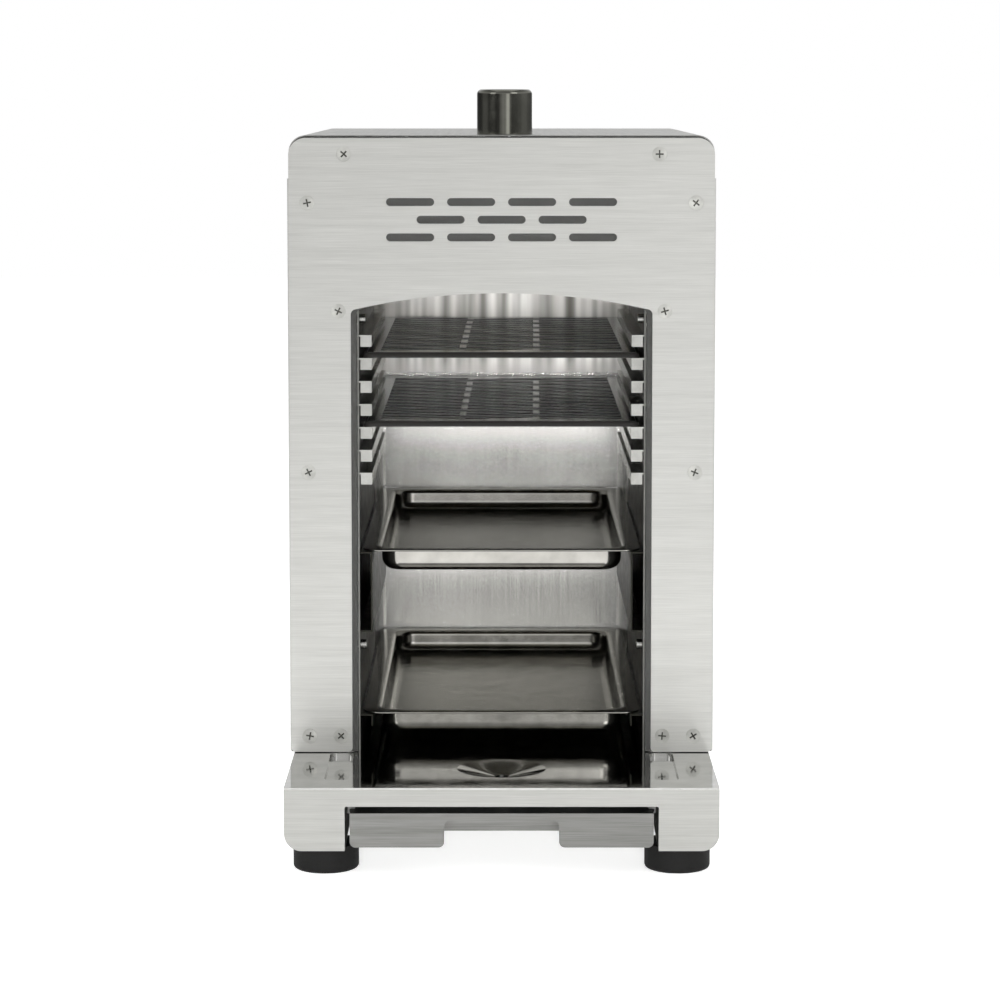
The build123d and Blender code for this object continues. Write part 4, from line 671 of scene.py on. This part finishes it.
            # A new ramp already has two stops
            stop = ramp.elements[number] if number < 2 else ramp.elements.new(position)
            stop.position = position
            stop.color = (share, share, share, 1.0)
        above = add(tree, "MapRange", {"Value": way.outputs["Z"], "From Min": self.upper_heights[0],
                                       "From Max": self.upper_heights[1]})
        bands = add(tree, "Math", {0: side, 1: self.ramp_top}, operation="MULTIPLY")
        upper = add(tree, "Mix", {0: above, 2: bands, 3: self.upper_level})
        ceiling = add(tree, "MapRange", {"Value": way.outputs["Z"], "From Min": self.ceiling_heights[0],
                                         "From Max": self.ceiling_heights[1], "To Min": 1.0,
                                         "To Max": self.ceiling_share})
        mirrored = add(tree, "Math", {0: upper, 1: ceiling}, operation="MULTIPLY")
        lit = add(tree, "Mix", {0: path.outputs["Is Glossy Ray"], 2: self.room_light, 3: mirrored})
        strength = add(tree, "Mix", {0: seen, 2: lit, 3: 1.0})
        wall = add(tree, "Background", {"Color": (1.0, 1.0, 1.0, 1.0), "Strength": strength})
        add(tree, "OutputWorld", {"Surface": wall})

    def build(self) -> None:
        """Sets up the whole studio."""
        self.camera()
        self.floor()
        self.world()
        for lamp in self.lamps:
            lamp.hang()
        bpy.context.scene.view_settings.view_transform = "Standard"
        LOG.info("studio: camera, floor, world, %d lamps", len(self.lamps))


@dataclass
class Housing:
    """The outer sheets and their screws."""

    def build(self) -> None:
        """Dresses the front, the frame, the cover, the sides and the rear."""
        dress(PANEL_STEEL, "front_panel")
        dress(BLACK_COAT_AND_SHADE, "front_frame")
        dress(COVER_STEEL, "top_cover")
        dress(SIDE_STEEL, "side_panel_right", "side_panel_left")
        dress(REAR_STEEL, "rear_panel")
        dress(HEAD_STEEL_AND_SHADE, "panel_screws")
        dress(SCREW_STEEL, "panel_nuts", "rear_screws", "liner_spacers")


@dataclass
class CookingChamber:
    """The chamber's walls and roof, the racks and their rails."""

    def build(self) -> None:
        """Dresses the walls, the roof, the racks and their bolts."""
        dress(LINER_STEEL, "liner_right", "liner_left", "liner_back", "chamber_roof")
        dress(RACK_STEEL_AND_SHADE, "rack_right", "rack_left")
        dress(TRAY_RAIL_STEEL_AND_SHADE, "tray_rails_right", "tray_rails_left")
        dress(RAIL_STEEL, "grate_rails_right", "grate_rails_left")
        dress(SCREW_STEEL, "rack_bolts")


@dataclass
class Burner:
    """The tiles, the burner box over them and everything that brings them gas."""

    def build(self) -> None:
        """Dresses the burner, the valve and the pipes."""
        dress(TILE_CERAMIC, "burner_tiles")
        dress(INNER_STEEL, "burner_plenum", "venturi_tube", "valve_bracket")
        dress(BRASS, "gas_jet", "valve_body", "valve_plug", "pipe_nut", "gas_inlet_nipple", "inlet_locknut",
              "thermocouple", "thermocouple_lead")
        dress(PIPE_METAL, "supply_pipe")
        dress(SCREW_STEEL, "valve_cap", "knob_spring", "knob_spindle", "knob_grub_screw")
        dress(BOX_PLASTIC, "piezo_igniter")
        dress(ELECTRODE_CERAMIC, "ignition_electrode")
        dress(LEAD_SLEEVE, "ignition_lead")


@dataclass
class Knob:
    """The turned knob on the cover."""

    def build(self) -> None:
        """Dresses the knob."""
        dress(KNOB_PLATE, "control_knob")


@dataclass
class Grates:
    """The two slotted grates."""

    groove_depth: float = 0.45 * MM
    names: tuple[str, ...] = ("grate_upper", "grate_lower")

    def build(self) -> None:
        """Dresses each grate with a coating that knows its height."""
        for name in self.names:
            # The groove's near black is painted shade in the pressed bars
            coat = CoatedSheet(f"nonstick_coat_painted_shade_{name}", groove="#171615", land="#b9b9b9",
                               top=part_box(name)[1][2], groove_depth=self.groove_depth)
            dress(coat, name)


@dataclass
class Base:
    """The base with its plate, drawer, runners, brackets and feet."""

    feet: tuple[str, ...] = ("foot_front_left", "foot_front_right", "foot_rear_left", "foot_rear_right")

    def build(self) -> None:
        """Dresses every piece of the base."""
        dress(BASE_SHADED_STEEL, "base_shell")
        dress(PLATE_STEEL, "base_top_plate")
        dress(DRAWER_SHADED_STEEL, "drip_drawer")
        dress(INNER_STEEL, "base_stiffeners", "drawer_runner_right", "drawer_runner_left", "housing_brackets")
        dress(FOOT_RUBBER, *self.feet)
        dress(SCREW_STEEL, "foot_screws", "foot_nuts")


@dataclass
class Trays:
    """The two pressed trays, drawn deep from one blank each."""

    names: tuple[str, ...] = ("tray_upper", "tray_lower")
    sheet: float = 0.8 * MM
    flange: float = 12.2 * MM
    flange_rise: float = 0.15 * MM
    edge_inset: float = 0.3 * MM
    edge_rise: float = 0.05 * MM
    corner: float = 12.0 * MM
    body_corner: float = 13.0 * MM
    lip: float = 3.4 * MM
    draft: float = 0.2 * MM
    floor_radius: float = 6.4 * MM
    depth: float = 15.0 * MM
    # A row of points this far before the lip and past the floor's bend keeps the flange and the floor flat
    flat: float = 1.0 * MM
    arc_steps: int = 8
    corner_steps: int = 12

    def profile(self) -> np.ndarray:
        """Works out the pressed section from the flange's edge to the floor.

        The flange rises in a straight line from its edge. A quarter circle of the lip radius turns it down
        into the wall, which leans in by the draft, and a quarter circle of the floor radius turns the wall
        into the floor.

        Returns:
            Rows of inset from the flange's edge, height over that edge, and corner radius.
        """
        turn = np.linspace(0.0, QUARTER_TURN, self.arc_steps)
        flange_end = self.flange - self.lip
        wall_foot = self.flange + self.draft
        foot_corner = self.body_corner - self.draft
        floor_z = self.sheet - self.depth
        bend_inset = self.floor_radius * (1 - np.cos(turn))
        floor_inset = self.floor_radius + self.flat
        edge = [(0.0, 0.0, self.corner), (self.edge_inset, self.edge_rise, self.corner)]
        rise = [(flange_end - self.flat, self.flange_rise, self.body_corner + self.lip + self.flat)]
        lip = np.stack([flange_end + self.lip * np.sin(turn),
                        self.flange_rise - self.lip * (1 - np.cos(turn)),
                        self.body_corner + self.lip * (1 - np.sin(turn))], axis=-1)
        bend = np.stack([wall_foot + bend_inset,
                         floor_z + self.floor_radius * (1 - np.sin(turn)),
                         foot_corner - bend_inset], axis=-1)
        floor = [(wall_foot + floor_inset, floor_z, foot_corner - floor_inset)]
        return np.concatenate([edge, rise, lip, bend, floor])

    def rings(self, name: str) -> np.ndarray:
        """Carries the section round a rectangle with rounded corners.

        Each ring is that rectangle, made smaller by the section's inset. A corner's point is the corner's
        centre plus the radius times the cosine and sine of its angle.

        Args:
            name: The node that gives the tray's outer size and place.

        Returns:
            An array of rings by points by 3.
        """
        low, high = (np.array(corner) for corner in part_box(name))
        middle, half = (low + high) / 2, (high - low) / 2
        inset, rise, radius = (column[:, None] for column in self.profile().T)
        angle = np.linspace(0.0, QUARTER_TURN, self.corner_steps)
        angles = np.concatenate([angle + quarter * QUARTER_TURN for quarter in range(4)])
        side_x = np.repeat([1.0, -1.0, -1.0, 1.0], self.corner_steps)
        side_y = np.repeat([1.0, 1.0, -1.0, -1.0], self.corner_steps)
        x = middle[0] + side_x * (half[0] - inset - radius) + radius * np.cos(angles)
        y = middle[1] + side_y * (half[1] - inset - radius) + radius * np.sin(angles)
        return np.stack([x, y, high[2] + rise + np.zeros_like(x)], axis=-1)

    def press(self, name: str) -> None:
        """Makes one tray, closed by its floor and given its wall, and lets it stand for its node."""
        made = surface(f"{name}_pressed", self.rings(name)[::-1], closed_rows=True)
        mesh = bmesh.new()
        mesh.from_mesh(made.data)
        mesh.verts.ensure_lookup_table()
        floor = mesh.faces.new(mesh.verts[:4 * self.corner_steps])
        floor.smooth = True
        bmesh.ops.recalc_face_normals(mesh, faces=mesh.faces)
        if floor.normal.z < 0:
            bmesh.ops.reverse_faces(mesh, faces=mesh.faces)
        mesh.to_mesh(made.data)
        mesh.free()
        wall = made.modifiers.new("sheet", "SOLIDIFY")
        wall.thickness = self.sheet
        wall.offset = -1.0
        wall.use_even_offset = True
        made.data.materials.append(TRAY_STEEL.material())
        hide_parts(name)
        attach(made, name)
        LOG.info("%s: pressed tray", name)

    def build(self) -> None:
        """Presses both trays."""
        for name in self.names:
            self.press(name)


def main() -> None:
    """Builds the studio and every sub-assembly in order."""
    logging.basicConfig(level=logging.INFO, format="%(name)s %(message)s")
    Studio().build()
    for assembly in (Housing(), CookingChamber(), Burner(), Knob(), Grates(), Trays(), Base()):
        assembly.build()


if __name__ == "__main__":
    main()
